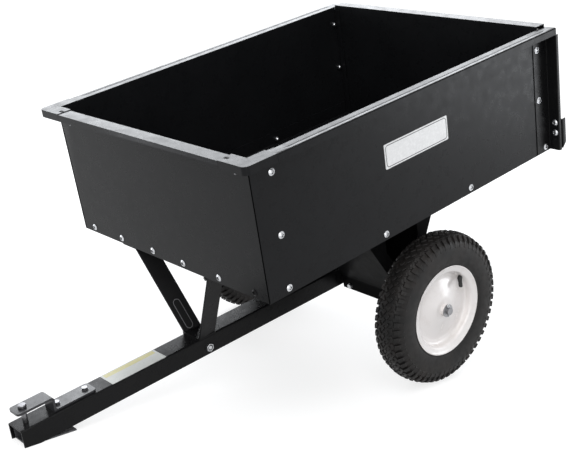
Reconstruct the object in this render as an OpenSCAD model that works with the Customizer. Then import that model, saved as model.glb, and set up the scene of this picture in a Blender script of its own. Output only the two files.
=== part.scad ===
// Tipping dump cart: a steel tray on two pneumatic wheels, with a drawn tongue that the tray hinges on.
// Millimetres, +Z up, front (tongue) toward -Y. The origin is on the ground, below the middle of the cart.

/* [Tray] */
// Width over the side panels
tray_w = 750; // [600:10:900]
// Front panel ahead of the axle
tray_nose = 532; // [480:2:560]
// Rear end of the side panels behind the axle
tray_tail = 486; // [470:2:560]
// Height of the side panels, with the rim
tray_h = 339; // [280:1:420]
// Underside of the floor above the axle
tray_rise = 262; // [240:1:300]
// Nose-down tilt of the tray at rest, degrees
tray_pitch = 12.2; // [11.2:0.1:13.2]
// Thickness of the tray's sheet
sheet_t = 2; // [1.5:0.25:3]
// Width of the turned-out rim
rim_w = 34; // [24:1:45]
// Depth of the rim's down-turned lip
rim_lip = 18; // [10:1:26]
// Legs of the rim's corner pieces
corner_leg = 89; // [70:1:120]
// Height of the corner pieces above the rim
corner_step = 1.5; // [0.5:0.25:2]
// Height of the floor's turned-up edges
floor_lip = 36; // [28:1:50]
// Length of the front panel's returns inside the side panels
return_l = 75; // [66:1:100]

/* [Tailgate] */
// Depth of the tailgate's folded edges
gate_fold = 23; // [18:1:28]
// Play of the tailgate in its guides, fore and aft
gate_play = 2; // [1:0.5:3]
// Height of the tailgate above the rim
gate_proud = 6; // [3:1:12]
// Width of the guides' flanges
guide_w = 22; // [16:1:30]
// Leg of the outer channel along the side panel
channel_leg = 57; // [50:1:64]
// Outward leg of the outer channel
channel_out = 33; // [24:1:36]
// Rearward lip of the outer channel
channel_lip = 10; // [6:1:12]
// Height of the lower gate bracket
bracket_h = 82; // [60:1:120]
// Rearward reach of the lower gate bracket
bracket_lip = 22; // [16:1:30]

/* [Tongue] */
// Tongue width
tongue_w = 62; // [56:1:70]
// Tongue height
tongue_h = 50; // [46:1:52]
// Tongue wall
tongue_t = 3; // [2.5:0.5:4]
// Tongue front end ahead of the axle
tongue_l = 1017; // [980:1:1080]
// Rise of the tongue's top above the axle
tongue_top = 26; // [24:1:28]
// Tilt of the tongue at rest, degrees
tongue_pitch = 10.4; // [9.8:0.1:10.7]

/* [Hitch] */
// Thickness of the hitch plate
hitch_t = 6; // [5:0.5:8]
// Width of the hitch plate
hitch_w = 44; // [36:1:50]
// Length of the hitch plate's raised tab
hitch_tab_l = 88; // [76:1:100]
// Clear gap for the drawbar
hitch_gap = 33; // [25:1:40]
// Diameter of the hitch pin
hitch_pin_d = 13; // [12:0.5:19]
// Spacing of the two hitch bolts
hitch_bolt_pitch = 76; // [60:1:80]
// Length of the skid's sole
skid_l = 125; // [90:1:160]

/* [Running gear] */
// Tyre outside diameter
tyre_d = 400; // [400:1:410]
// Tyre section width
tyre_w = 84; // [78:1:96]
// Distance between the wheels' middle planes
track = 722; // [700:2:780]
// Diameter over the rim's lips
rim_d = 237; // [228:1:244]
// Width over the rim's lips
wheel_rim_w = 76; // [64:1:78]
// Axle diameter
axle_d = 19; // [16:0.5:22]
// Distance from the axle stand's ends in to out, up to the wheels' middle planes
wheel_reach = 96; // [90:1:120]
// Height of the axle beams
beam_h = 19; // [15:1:25]

/* [Legs and latch] */
// Width of the leg straps, fore and aft
leg_w = 50; // [44:1:56]
// Thickness of the leg straps
leg_t = 5; // [4:0.5:6]
// Sideways lean of the legs, run over rise
leg_lean = 0.54; // [0.4:0.02:0.6]
// Distance of the catch bolt ahead of the axle
catch_y = 487; // [480:1:492]
// Diameter of the catch bolt
catch_d = 12; // [10:0.5:14]
// Length of the latch handle behind its pivot
latch_l = 118; // [90:1:140]

/* [Fasteners] */
// Tray bolt diameter
bolt_d = 8; // [6:1:10]
// Tray bolt head diameter
head_d = 17; // [14:0.5:20]
// Frame bolt diameter
frame_bolt_d = 10; // [8:1:12]

/* [Hidden] */
$fn = 48;

// Clearances
run_gap = 0.08;
hole_gap = 0.2;
side_gap = 1;
seat_gap = 0.3;

// Derived sizes of the tray
half_w = tray_w / 2;
inner_w = half_w - sheet_t;
rim_z = tray_rise + tray_h;
floor_z = tray_rise + sheet_t;
front_y = -tray_nose;
front_in = front_y + sheet_t;
rim_x = half_w + rim_w;
rim_front = front_y - rim_w;
corner_x = rim_x - corner_leg;
corner_y = rim_front + corner_leg;
corner_under = rim_z + corner_step - sheet_t;
corner_r = 14;
corner_tab_h = 58;
side_play = 0.5;

// Tailgate and its guides, counted forward from the rear end of the side panels
guide_slot = gate_fold + 2 * gate_play;
guide_rear = tray_tail - sheet_t;
guide_front = guide_rear - guide_slot - 2 * sheet_t;
guide_top = rim_z - 9;
gate_y = guide_front + sheet_t + gate_play;
gate_half = inner_w - sheet_t - side_gap;
gate_top = rim_z + gate_proud;
gate_bottom = floor_z + seat_gap;
gate_hem = gate_fold + 10;
gate_hem_lip = 16;
channel_front = tray_tail + 1 - channel_leg;
channel_rear = tray_tail + 1;
channel_x = half_w + channel_out;
channel_top = rim_z - rim_lip - 1;
bracket_z = floor_z + 4;
bracket_chamfer = 14;
bracket_x = channel_x + sheet_t;
bracket_rear = channel_rear + sheet_t + bracket_lip;

// Bolts of the tray
row_z = tray_rise + 15;
row_front = front_y + 59;
row_rear = tray_tail - 21;
row_step = (row_rear - row_front) / 3;
side_row = [for (i = [0:2]) row_front + i * row_step];
column_z = [rim_z - 48, tray_rise + tray_h * 0.425];
corner_bolt = [corner_x + 9, rim_z - 32];
channel_bolt_y = guide_front - 9;
channel_bolt_z = [rim_z - 51, tray_rise + tray_h * 0.45];
notch_x = inner_w - sheet_t - 9;
notch_z = row_z + 13;
front_row = [-0.866, -0.528, -0.165, 0.165, 0.528, 0.866];
flange_bolt_x = half_w + channel_out * 0.62;
flange_bolt_z = [bracket_z + bracket_h * 0.56, bracket_z + bracket_h * 0.9];
head_h = 4.5;
nut_af = 13;
nut_h = 6.5;

// Running gear
axle_r = axle_d / 2;
axle_z = tyre_d / 2;
wheel_x = track / 2;
hub_in = wheel_x - tyre_w / 2 - 6;
hub_out = wheel_x + wheel_rim_w / 2 - 1;
hub_r = 16;
hub_bore = 12.7;
bush_l = 30;
washer_t = 2.2;
washer_r = 17;
washer_in = hub_in - seat_gap - washer_t;
washer_out = hub_out + seat_gap;
cotter_r = 1.6;
cotter_x = washer_out + washer_t + cotter_r + hole_gap;
axle_end = cotter_x + 6;
sleeve_r = axle_r + 2.5;
sleeve_in = tongue_w / 2 + 0.6;
stand_half = wheel_x - wheel_reach;
stand_t = 3;
stand_top_y = 156;
stand_foot_y = 12.5;
stand_knee_z = 5;
stand_flange = 38;
stand_seat = 40;
stand_slot = tongue_w / 2 + 5;
stand_slot_z = tongue_top + 22;
gusset_low = stand_knee_z + 70;
gusset_mid = stand_knee_z + 95;
gusset_high = stand_knee_z + 150;
gusset_end = tray_rise - 45;
beam_top = -sleeve_r - 0.2;
beam_bottom = beam_top - beam_h;
beam_grip = 2 * (stand_foot_y + stand_t);
bracket_t = 6;
axle_bracket_x = stand_half - stand_t - bracket_t - 4;
bead_r = 101;
rim_wall = 2.5;
tyre_wall = 9;
section_h = tyre_d / 2 - bead_r;
tread_t = 15;
tube_centre = bead_r + (section_h - tread_t + 12) / 2;
cavity_r = min(tyre_w / 2 - tyre_wall, (section_h - tread_t) / 2 - tyre_wall);
tube_r = cavity_r - seat_gap;
tube_wall = 2.5;
valve_x = 22;
valve_r = 3.2;
valve_collar = 5.5;
valve_turn = 40;
valve_stem_l = 27;

// Tongue, hitch and latch
tongue_half = tongue_w / 2;
tongue_under = tongue_top - tongue_h;
tongue_end = 24;
pivot_r = axle_r + run_gap;
pivot_out = axle_r + 3.5;
hitch_pin_r = hitch_pin_d / 2;
tab_z = tongue_top + hitch_gap;
tab_front = -tongue_l + 5;
hitch_pin_y = tab_front + 24;
hitch_margin = 19;
tab_rear = tab_front + hitch_tab_l;
hitch_rear = tab_rear + hitch_bolt_pitch + 2 * hitch_margin;
hitch_bolt_y = [hitch_rear - hitch_margin - hitch_bolt_pitch, hitch_rear - hitch_margin];
hitch_bolt_r = 5;
hitch_corner_r = 9;
skid_front = -tongue_l + 8;
skid_rear = skid_front + skid_l;
skid_t = 4;
skid_half = tongue_half - tongue_t;
skid_ear_l = 45;
skid_play = 17;
catch_z = -4;
catch_r = catch_d / 2;
foot_t = 4;
foot_z = tongue_top + seat_gap;
trim_l = tongue_l / 3;
foot_top = foot_z + foot_t;
foot_half = leg_w / 2 + 1;
foot_front = -catch_y - foot_half;
foot_rear = -catch_y + foot_half;
ear_x = -tongue_half - side_gap - foot_t;
ear_bottom = catch_z - 14;
latch_t = 5;
latch_x = ear_x - side_gap - latch_t;
latch_pivot_r = 4;
latch_pivot_z = catch_z + 21;
latch_tooth_r = catch_r + 21 + 0.5;
latch_open = 20;
latch_boss_r = foot_z - latch_pivot_z - seat_gap;

// Legs, in the tray's frame: each strap rises from the middle of the foot to just behind the front panel
leg_dip = tray_pitch - tongue_pitch;
leg_foot_y = foot_top * sin(leg_dip) - catch_y * cos(leg_dip);
leg_foot_z = foot_top * cos(leg_dip) + catch_y * sin(leg_dip);
leg_foot_x = 28;
leg_top = tray_rise - leg_t;
leg_top_y = front_y + leg_w / 2 + 3;
leg_rake = atan((leg_foot_y - leg_top_y) / (leg_top - leg_foot_z));
leg_rise = (leg_top - leg_foot_z) / cos(leg_rake);
leg_side = leg_t * sqrt(1 + leg_lean * leg_lean);
leg_top_x = leg_foot_x + leg_lean * leg_rise;
leg_pad = 62;
leg_bolt_x = leg_top_x + leg_pad * 0.6;

// Origin: the middle of the cart's length on the ground, worked out from its two ends
front_reach = tab_front * cos(tongue_pitch) - (tab_z + hitch_t) * sin(tongue_pitch);
rear_reach = bracket_rear * cos(tray_pitch) - (bracket_z + bracket_chamfer) * sin(tray_pitch);
origin_y = (front_reach + rear_reach) / 2;

// Placing helpers: a profile is drawn in the plane across the named axis
module along_x(a, b) {
  translate([a, 0, 0]) rotate([90, 0, 90]) linear_extrude(b - a) children();
}
module along_y(a, b) {
  translate([0, b, 0]) rotate([90, 0, 0]) linear_extrude(b - a) children();
}
module along_z(a, b) {
  translate([0, 0, a]) linear_extrude(b - a) children();
}
module box(a, b) {
  translate(a) cube(b - a);
}
module rod_x(a, b, r) {
  translate([a, 0, 0]) rotate([0, 90, 0]) cylinder(h = b - a, r = r);
}
module tube_x(a, b, r_out, r_in) {
  difference() {
    rod_x(a, b, r_out);
    rod_x(a - 1, b + 1, r_in);
  }
}
module on_axle() {
  translate([0, -origin_y, axle_z]) children();
}
module in_tray() {
  on_axle() rotate([tray_pitch, 0, 0]) children();
}
module in_tongue() {
  on_axle() rotate([tongue_pitch, 0, 0]) children();
}
module side(s) {
  mirror([s < 0 ? 1 : 0, 0, 0]) children();
}
module rounded(w, l, r) {
  square([w - 2 * r, l], center = true);
  square([w, l - 2 * r], center = true);
  for (sx = [-1, 1], sy = [-1, 1]) {
    translate([sx * (w / 2 - r), sy * (l / 2 - r)]) circle(r);
  }
}
// Height of a point on the ground, in the tongue's tilted frame
function ground_z(y) = -(axle_z + y * sin(tongue_pitch)) / cos(tongue_pitch);

// Fasteners: each lies along +Z with its head's seat at zero, the shank below
module dome_bolt(d, head, grip) {
  translate([0, 0, -grip]) cylinder(h = grip + 0.5, r = d / 2);
  rotate_extrude() intersection() {
    translate([0, head_h - head * 0.62]) circle(head * 0.62);
    square([head, head_h]);
  }
  cylinder(h = 1.2, r = head / 2);
}
module hex_bolt(d, af, h, grip) {
  translate([0, 0, -grip]) cylinder(h = grip + 0.5, r = d / 2);
  cylinder(h = h, r = af / sqrt(3), $fn = 6);
}
module hex_nut(d, af, h) {
  difference() {
    cylinder(h = h, r = af / sqrt(3), $fn = 6);
    translate([0, 0, -1]) cylinder(h = h + 2, r = d / 2 + run_gap);
  }
}

// Bolt places of the tray: each call puts its children at every bolt, +Z pointing out of the tray
module side_bolt_places() {
  for (y = side_row) translate([half_w, y, row_z]) rotate([0, 90, 0]) children();
  for (z = column_z) translate([half_w, row_front, z]) rotate([0, 90, 0]) children();
}
module channel_bolt_places() {
  for (z = channel_bolt_z) translate([half_w + sheet_t, channel_bolt_y, z]) rotate([0, 90, 0]) children();
}
module guide_bolt_places() {
  translate([half_w + sheet_t, row_rear, row_z]) rotate([0, 90, 0]) children();
}
module front_bolt_places() {
  for (f = front_row) translate([f * half_w, front_y, row_z]) rotate([90, 0, 0]) children();
}
module corner_bolt_places() {
  for (s = [-1, 1]) translate([s * corner_bolt[0], front_y, corner_bolt[1]]) rotate([90, 0, 0]) children();
}
module flange_bolt_places() {
  for (z = flange_bolt_z) {
    translate([flange_bolt_x, channel_rear - sheet_t, z]) rotate([90, 0, 0]) children();
  }
}
module hole(d) {
  translate([0, 0, -12]) cylinder(h = 24, r = d / 2 + hole_gap);
}

// Tray panels
module side_panel(s) {
  color("dimgray") in_tray() side(s) difference() {
    union() {
      box([inner_w, front_y, tray_rise], [half_w, corner_y + side_play, corner_under]);
      box([inner_w, corner_y + side_play, tray_rise], [half_w, tray_tail, rim_z]);
      box([inner_w, corner_y + side_play, rim_z - sheet_t], [rim_x, tray_tail, rim_z]);
      box([rim_x - sheet_t, corner_y + side_play, rim_z - rim_lip], [rim_x, tray_tail, rim_z]);
    }
    side_bolt_places() hole(bolt_d);
    channel_bolt_places() hole(bolt_d);
    guide_bolt_places() hole(bolt_d);
  }
}
module side_panel_left() { side_panel(-1); }
module side_panel_right() { side_panel(1); }

module front_panel() {
  color("dimgray") in_tray() difference() {
    union() {
      box([-inner_w, front_y, tray_rise], [inner_w, front_in, corner_under]);
      box([-corner_x + side_play, front_y, tray_rise], [corner_x - side_play, front_in, rim_z]);
      box([-corner_x + side_play, rim_front, rim_z - sheet_t], [corner_x - side_play, front_in, rim_z]);
      box([-corner_x + side_play, rim_front, rim_z - rim_lip],
        [corner_x - side_play, rim_front + sheet_t, rim_z]);
      for (s = [-1, 1]) side(s) {
        box([inner_w - sheet_t, front_y, floor_z], [inner_w, front_in + return_l, corner_under]);
      }
    }
    front_bolt_places() hole(bolt_d);
    corner_bolt_places() hole(bolt_d);
    for (s = [-1, 1]) side(s) side_bolt_places() hole(bolt_d);
  }
}

module floor_panel() {
  lip_top = floor_z + floor_lip;
  lip_x = inner_w - sheet_t;
  lip_front = front_in + return_l + 3;
  color("dimgray") in_tray() difference() {
    union() {
      box([-inner_w, front_in, tray_rise], [inner_w, tray_tail, floor_z]);
      box([-lip_x, front_in, tray_rise], [lip_x, front_in + sheet_t, lip_top]);
      for (s = [-1, 1]) side(s) box([lip_x, lip_front, tray_rise], [inner_w, guide_front - 3, lip_top]);
    }
    front_bolt_places() hole(bolt_d);
    for (s = [-1, 1]) side(s) side_bolt_places() hole(bolt_d);
    frame_bolt_places() hole(frame_bolt_d);
  }
}

// Corner of the rim: an L plate that laps the panels, with an outer lip and two inner tabs
module corner_plan(inset) {
  difference() {
    union() {
      translate([corner_x, rim_front]) square([corner_leg - corner_r, rim_w + 3 * sheet_t]);
      translate([half_w - 3 * sheet_t, rim_front + corner_r]) {
        square([rim_w + 3 * sheet_t, corner_leg - corner_r]);
      }
      translate([rim_x - corner_r, rim_front + corner_r]) circle(corner_r);
    }
    if (inset > 0) {
      translate([corner_x - 1, rim_front + inset]) square([corner_leg + 1 - corner_r, corner_leg]);
      translate([half_w - corner_leg - inset, rim_front + corner_r]) {
        square([rim_w + corner_leg, corner_leg]);
      }
      translate([rim_x - corner_r, rim_front + corner_r]) circle(corner_r - inset);
    }
  }
}
module corner_piece(s) {
  tab_x = inner_w - sheet_t;
  color("darkgray") in_tray() side(s) difference() {
    union() {
      along_z(corner_under, corner_under + sheet_t) corner_plan(0);
      along_z(rim_z - rim_lip, corner_under + sheet_t) corner_plan(sheet_t);
      box([corner_x, front_in, corner_under - corner_tab_h],
        [tab_x, front_in + sheet_t, corner_under + sheet_t]);
      box([tab_x - sheet_t, front_in, corner_under - corner_tab_h],
        [tab_x, corner_y, corner_under + sheet_t]);
    }
    side_bolt_places() hole(bolt_d);
    corner_bolt_places() hole(bolt_d);
  }
}
module corner_left() { corner_piece(-1); }
module corner_right() { corner_piece(1); }

// Guides, channels and brackets that hold the tailgate
module gate_guide(s) {
  base_x = inner_w - sheet_t;
  color("black") in_tray() side(s) difference() {
    union() {
      box([base_x, guide_front, floor_z], [inner_w, guide_rear, guide_top]);
      box([inner_w - guide_w, guide_front, floor_z], [inner_w, guide_front + sheet_t, guide_top]);
      box([inner_w - guide_w, guide_rear - sheet_t, floor_z], [inner_w, guide_rear, guide_top]);
    }
    guide_bolt_places() hole(bolt_d);
  }
}
module gate_guide_left() { gate_guide(-1); }
module gate_guide_right() { gate_guide(1); }

module gate_channel(s) {
  color("black") in_tray() side(s) difference() {
    along_z(floor_z, channel_top) {
      translate([half_w, channel_front]) square([sheet_t, channel_leg]);
      translate([half_w, channel_rear - sheet_t]) square([channel_out, sheet_t]);
      translate([channel_x - sheet_t, channel_rear - sheet_t]) square([sheet_t, channel_lip]);
    }
    channel_bolt_places() hole(bolt_d);
    guide_bolt_places() hole(bolt_d);
    flange_bolt_places() hole(bolt_d);
  }
}
module gate_channel_left() { gate_channel(-1); }
module gate_channel_right() { gate_channel(1); }

module gate_bracket(s) {
  plate_y = channel_rear;
  color("black") in_tray() side(s) difference() {
    union() {
      box([half_w + sheet_t, plate_y, bracket_z],
        [channel_x - sheet_t - 0.5, plate_y + sheet_t, bracket_z + bracket_h]);
      box([half_w + sheet_t, plate_y + channel_lip, bracket_z],
        [bracket_x, plate_y + channel_lip + sheet_t, bracket_z + bracket_h]);
      box([half_w + sheet_t, plate_y, bracket_z],
        [half_w + 2 * sheet_t, plate_y + channel_lip + sheet_t, bracket_z + bracket_h]);
      along_x(channel_x + 0.2, bracket_x + 0.2) polygon([
        [plate_y + channel_lip, bracket_z], [bracket_rear - bracket_chamfer, bracket_z],
        [bracket_rear, bracket_z + bracket_chamfer], [bracket_rear, bracket_z + bracket_h],
        [plate_y + channel_lip, bracket_z + bracket_h]
      ]);
    }
    flange_bolt_places() hole(bolt_d);
  }
}
module gate_bracket_left() { gate_bracket(-1); }
module gate_bracket_right() { gate_bracket(1); }

module tailgate() {
  color("dimgray") in_tray() difference() {
    union() {
      box([-gate_half, gate_y, gate_bottom], [gate_half, gate_y + sheet_t, gate_top]);
      box([-gate_half, gate_y, gate_top - sheet_t], [gate_half, gate_y + gate_hem, gate_top]);
      box([-gate_half, gate_y + gate_hem - sheet_t, gate_top - gate_hem_lip],
        [gate_half, gate_y + gate_hem, gate_top]);
      box([-gate_half, gate_y, gate_bottom], [gate_half, gate_y + gate_fold, gate_bottom + sheet_t]);
      for (s = [-1, 1]) side(s) {
        box([gate_half - sheet_t, gate_y, gate_bottom], [gate_half, gate_y + gate_fold, gate_top - 20]);
      }
    }
    for (s = [-1, 1]) side(s) {
      box([notch_x, gate_y - 1, gate_bottom - 1], [half_w, gate_y + gate_fold + 1, notch_z]);
    }
  }
}

module tray_bolts() {
  color("silver") in_tray() {
    front_bolt_places() dome_bolt(bolt_d, head_d, 13);
    corner_bolt_places() dome_bolt(bolt_d, head_d, 15);
    for (s = [-1, 1]) side(s) {
      side_bolt_places() dome_bolt(bolt_d, head_d, 15);
      channel_bolt_places() dome_bolt(bolt_d, head_d, 13);
      guide_bolt_places() dome_bolt(bolt_d, head_d, 13);
      flange_bolt_places() dome_bolt(bolt_d, head_d, 11);
    }
  }
}
module tray_nut(sheets) {
  translate([0, 0, -sheets * sheet_t - nut_h]) hex_nut(bolt_d, nut_af, nut_h);
}
module tray_nuts() {
  color("silver") in_tray() {
    front_bolt_places() tray_nut(2);
    corner_bolt_places() tray_nut(2);
    for (s = [-1, 1]) side(s) {
      for (y = side_row) translate([half_w, y, row_z]) rotate([0, 90, 0]) tray_nut(2);
      translate([half_w, row_front, column_z[0]]) rotate([0, 90, 0]) tray_nut(3);
      translate([half_w, row_front, column_z[1]]) rotate([0, 90, 0]) tray_nut(2);
      channel_bolt_places() tray_nut(2);
      guide_bolt_places() tray_nut(3);
      flange_bolt_places() tray_nut(2);
    }
  }
}

// Axle stand: two bent plates that lean together down to the axle
module stand_profile() {
  slope_top = tray_rise - stand_t;
  polygon([
    [-stand_top_y, tray_rise], [-stand_top_y + stand_seat, tray_rise],
    [-stand_top_y + stand_seat, slope_top], [-stand_top_y + 2 * stand_t, slope_top],
    [-stand_foot_y, stand_knee_z + 1], [-stand_foot_y, beam_bottom],
    [-stand_foot_y - stand_t, beam_bottom], [-stand_foot_y - stand_t, stand_knee_z]
  ]);
}
module stand_end() {
  slope = (stand_top_y - stand_foot_y - stand_t) / (tray_rise - stand_knee_z);
  knee_y = -stand_foot_y - stand_t;
  full_y = knee_y - slope * (gusset_high - stand_knee_z) + stand_flange;
  polygon([
    [knee_y, stand_knee_z], [-stand_top_y, tray_rise], [-stand_top_y + stand_seat, tray_rise],
    [full_y, gusset_end], [full_y, gusset_high],
    [knee_y - slope * (gusset_mid - stand_knee_z) + stand_flange, gusset_mid],
    [knee_y - slope * (gusset_low - stand_knee_z) + stand_flange / 2, gusset_low],
    [knee_y + stand_t, stand_knee_z + 8], [knee_y + stand_t, stand_knee_z]
  ]);
}
module stand_plate() {
  difference() {
    union() {
      along_x(-stand_half, stand_half) stand_profile();
      for (s = [-1, 1]) side(s) along_x(stand_half - stand_t, stand_half) stand_end();
    }
    box([-stand_slot, -stand_top_y, beam_bottom - 5], [stand_slot, 0, stand_slot_z]);
    frame_bolt_places() hole(frame_bolt_d);
    beam_bolt_places() hole(bolt_d);
  }
}
module stand_front() { color("black") in_tray() stand_plate(); }
module stand_rear() { color("black") in_tray() mirror([0, 1, 0]) stand_plate(); }

// Bolt places of the stand and the legs, under the floor; +Z points up out of the floor
stand_bolt_x = [stand_half * 0.35, stand_half * 0.85];
module frame_bolt_places() {
  for (s = [-1, 1], t = [-1, 1], x = stand_bolt_x) {
    translate([s * x, t * (stand_top_y - 24), floor_z]) children();
  }
  for (s = [-1, 1]) translate([s * leg_bolt_x, leg_top_y, floor_z]) children();
}
module beam_bolt_places() {
  for (s = [-1, 1]) {
    translate([s * (stand_slot + 26), -stand_foot_y - stand_t, (beam_top + beam_bottom) / 2]) {
      rotate([90, 0, 0]) children();
    }
  }
}

module axle_beam(s) {
  color("black") in_tray() side(s) difference() {
    box([stand_slot + 4, -stand_foot_y, beam_bottom], [axle_bracket_x - 1, stand_foot_y, beam_top]);
    box([stand_slot, -stand_foot_y + 2, beam_bottom + 2],
      [axle_bracket_x + 1, stand_foot_y - 2, beam_top - 2]);
    beam_bolt_places() translate([0, 0, -beam_grip]) cylinder(h = beam_grip, r = bolt_d / 2 + hole_gap);
  }
}
module axle_beam_left() { axle_beam(-1); }
module axle_beam_right() { axle_beam(1); }

module axle_bracket(s) {
  knee = stand_knee_z + 1;
  slope = (stand_top_y - 2 * stand_t - stand_foot_y) / (tray_rise - stand_t - knee);
  top = 90;
  foot = stand_foot_y - 0.3;
  color("black") in_tray() side(s) difference() {
    along_x(axle_bracket_x, axle_bracket_x + bracket_t) polygon([
      [-foot, beam_bottom], [foot, beam_bottom], [foot, knee],
      [foot + slope * (top - knee), top], [-foot - slope * (top - knee), top], [-foot, knee]
    ]);
    rod_x(axle_bracket_x - 1, axle_bracket_x + bracket_t + 1, pivot_r);
  }
}
module axle_bracket_left() { axle_bracket(-1); }
module axle_bracket_right() { axle_bracket(1); }

module axle() {
  color("silver") in_tray() difference() {
    rod_x(-axle_end, axle_end, axle_r);
    for (s = [-1, 1]) translate([s * cotter_x, 0, 0]) {
      cylinder(h = 3 * axle_r, r = cotter_r + 0.1, center = true);
    }
  }
}
module axle_sleeves() {
  color("gray") in_tray() for (s = [-1, 1]) side(s) {
    tube_x(sleeve_in, axle_bracket_x - seat_gap, sleeve_r, pivot_r);
  }
}
module wheel_spacers() {
  color("gray") in_tray() for (s = [-1, 1]) side(s) {
    tube_x(axle_bracket_x + bracket_t + seat_gap, washer_in - seat_gap, sleeve_r, pivot_r);
  }
}
module wheel_washers() {
  color("silver") in_tray() for (s = [-1, 1]) side(s) {
    tube_x(washer_in, washer_in + washer_t, washer_r, pivot_r);
    tube_x(washer_out, washer_out + washer_t, washer_r, pivot_r);
  }
}
module cotter_pins() {
  eye_r = 3.2;
  color("silver") in_tray() for (s = [-1, 1]) translate([s * cotter_x, 0, 0]) {
    translate([0, 0, -axle_r - 6]) cylinder(h = 2 * axle_r + 8, r = cotter_r);
    translate([0, 0, axle_r + 1.7 + eye_r]) rotate([0, 90, 0]) {
      rotate_extrude() translate([eye_r, 0]) circle(cotter_r * 0.8);
    }
  }
}

// Front legs: two flat straps that spread from the foot on the tongue up to pads under the floor
function leg_in(rise) = leg_foot_x + leg_lean * rise;
module leg(s) {
  low = -2 * leg_t;
  high = leg_rise + 3 * leg_t;
  color("black") in_tray() side(s) difference() {
    union() {
      translate([0, leg_foot_y, leg_foot_z]) rotate([leg_rake, 0, 0]) along_y(-leg_w / 2, leg_w / 2) polygon([
        [leg_in(low), low], [leg_in(low) + leg_side, low],
        [leg_in(high) + leg_side, high], [leg_in(high), high]
      ]);
      box([leg_top_x, leg_top_y - leg_w / 2, leg_top],
        [leg_top_x + leg_pad, leg_top_y + leg_w / 2, tray_rise]);
    }
    rotate([-leg_dip, 0, 0]) {
      box([0, foot_front - leg_w, foot_top - leg_w], [leg_pad, foot_rear + leg_w, foot_top]);
    }
    box([0, front_y - leg_w, tray_rise], [half_w, leg_top_y + 2 * leg_w, tray_rise + leg_w]);
    frame_bolt_places() hole(frame_bolt_d);
  }
}
module leg_left() { leg(-1); }
module leg_right() { leg(1); }

// Foot of the legs: rests on the tongue, with an ear down its far side that drops over the catch bolt
module leg_foot() {
  pad_end = leg_foot_x + leg_side + 0.5;
  slot = catch_r + side_gap;
  color("black") in_tongue() difference() {
    union() {
      box([ear_x, foot_front, foot_z], [pad_end, foot_rear, foot_top]);
      box([ear_x, foot_front, ear_bottom], [ear_x + foot_t, foot_rear, foot_top]);
    }
    box([ear_x - 1, -catch_y - slot, ear_bottom - 1], [ear_x + foot_t + 1, -catch_y + slot, catch_z]);
    translate([0, -catch_y, catch_z]) rod_x(ear_x - 1, ear_x + foot_t + 1, slot);
    translate([0, -catch_y, latch_pivot_z]) rod_x(ear_x - 1, ear_x + foot_t + 1, latch_pivot_r + run_gap);
  }
}

module frame_bolts() {
  color("silver") in_tray() {
    frame_bolt_places() dome_bolt(frame_bolt_d, 21, 17);
    beam_bolt_places() hex_bolt(bolt_d, nut_af, 5.3, beam_grip + 9);
  }
}
module frame_nuts() {
  grip = sheet_t + stand_t;
  color("silver") in_tray() {
    for (s = [-1, 1], t = [-1, 1], x = stand_bolt_x) {
      translate([s * x, t * (stand_top_y - 24), floor_z - grip - 8]) hex_nut(frame_bolt_d, 16, 8);
    }
    for (s = [-1, 1]) {
      translate([s * leg_bolt_x, leg_top_y, leg_top - 8]) {
        hex_nut(frame_bolt_d, 16, 8);
      }
    }
    beam_bolt_places() translate([0, 0, -beam_grip - nut_h]) {
      hex_nut(bolt_d, nut_af, nut_h);
    }
  }
}

// Latch: a hook on the left side of the tongue, closed under the catch bolt; its handle lifts to free it
module at_latch() {
  translate([0, -catch_y, latch_pivot_z]) children();
}
module latch_pivot() {
  color("silver") in_tongue() at_latch() {
    rod_x(latch_x - 4, ear_x + foot_t + side_gap / 2, latch_pivot_r);
    rod_x(latch_x - 4, latch_x - 0.4, latch_pivot_r + 3);
  }
}
module latch_hook() {
  shank_in = catch_r + 1.5;
  shank_out = shank_in + 10;
  tooth_out = latch_tooth_r + 8;
  difference() {
    intersection() {
      circle(tooth_out);
      translate([-3, -60]) square([shank_out + 3, 60]);
    }
    intersection() {
      circle(latch_tooth_r);
      translate([-30, -60]) square([30 + shank_in, 60]);
    }
  }
}
module latch_lever() {
  color("black") in_tongue() at_latch() {
    along_x(latch_x, latch_x + latch_t) difference() {
      union() {
        circle(latch_boss_r);
        rotate(-latch_open) translate([0, -6]) square([latch_l, 12]);
        latch_hook();
      }
      circle(latch_pivot_r + run_gap);
    }
  }
}
module latch_grip() {
  color("black") in_tongue() at_latch() rotate([-latch_open, 0, 0]) difference() {
    box([latch_x - 3, latch_l - 50, -9], [latch_x + latch_t + 3, latch_l + 4, 9]);
    box([latch_x, latch_l - 60, -6], [latch_x + latch_t, latch_l, 6]);
  }
}

// Tongue: a channel open below, trimmed level with the ground at its tip
module tongue() {
  color("black") in_tongue() difference() {
    along_y(-tongue_l, tongue_end) difference() {
      translate([-tongue_half, tongue_under]) square([tongue_w, tongue_h]);
      translate([-tongue_half + tongue_t, tongue_under - 1]) {
        square([tongue_w - 2 * tongue_t, tongue_h - tongue_t + 1]);
      }
    }
    along_x(-tongue_w, tongue_w) polygon([
      [-tongue_l - 10, ground_z(-tongue_l - 10)], [-tongue_l + trim_l, ground_z(-tongue_l + trim_l)],
      [-tongue_l + trim_l, -axle_z], [-tongue_l - 10, -axle_z]
    ]);
    rod_x(-tongue_w, tongue_w, pivot_out + 0.05);
    translate([0, -catch_y, catch_z]) rod_x(-tongue_w, tongue_w, catch_r + hole_gap);
    translate([0, hitch_pin_y, 0]) cylinder(h = tab_z + 2 * hitch_t, r = hitch_pin_r + 0.1);
    for (y = hitch_bolt_y) translate([0, y, 0]) cylinder(h = tongue_h, r = hitch_bolt_r + hole_gap);
  }
}
module pivot_sleeve() {
  color("gray") in_tongue() tube_x(-tongue_half - 0.2, tongue_half + 0.2, pivot_out, pivot_r);
}

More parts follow.
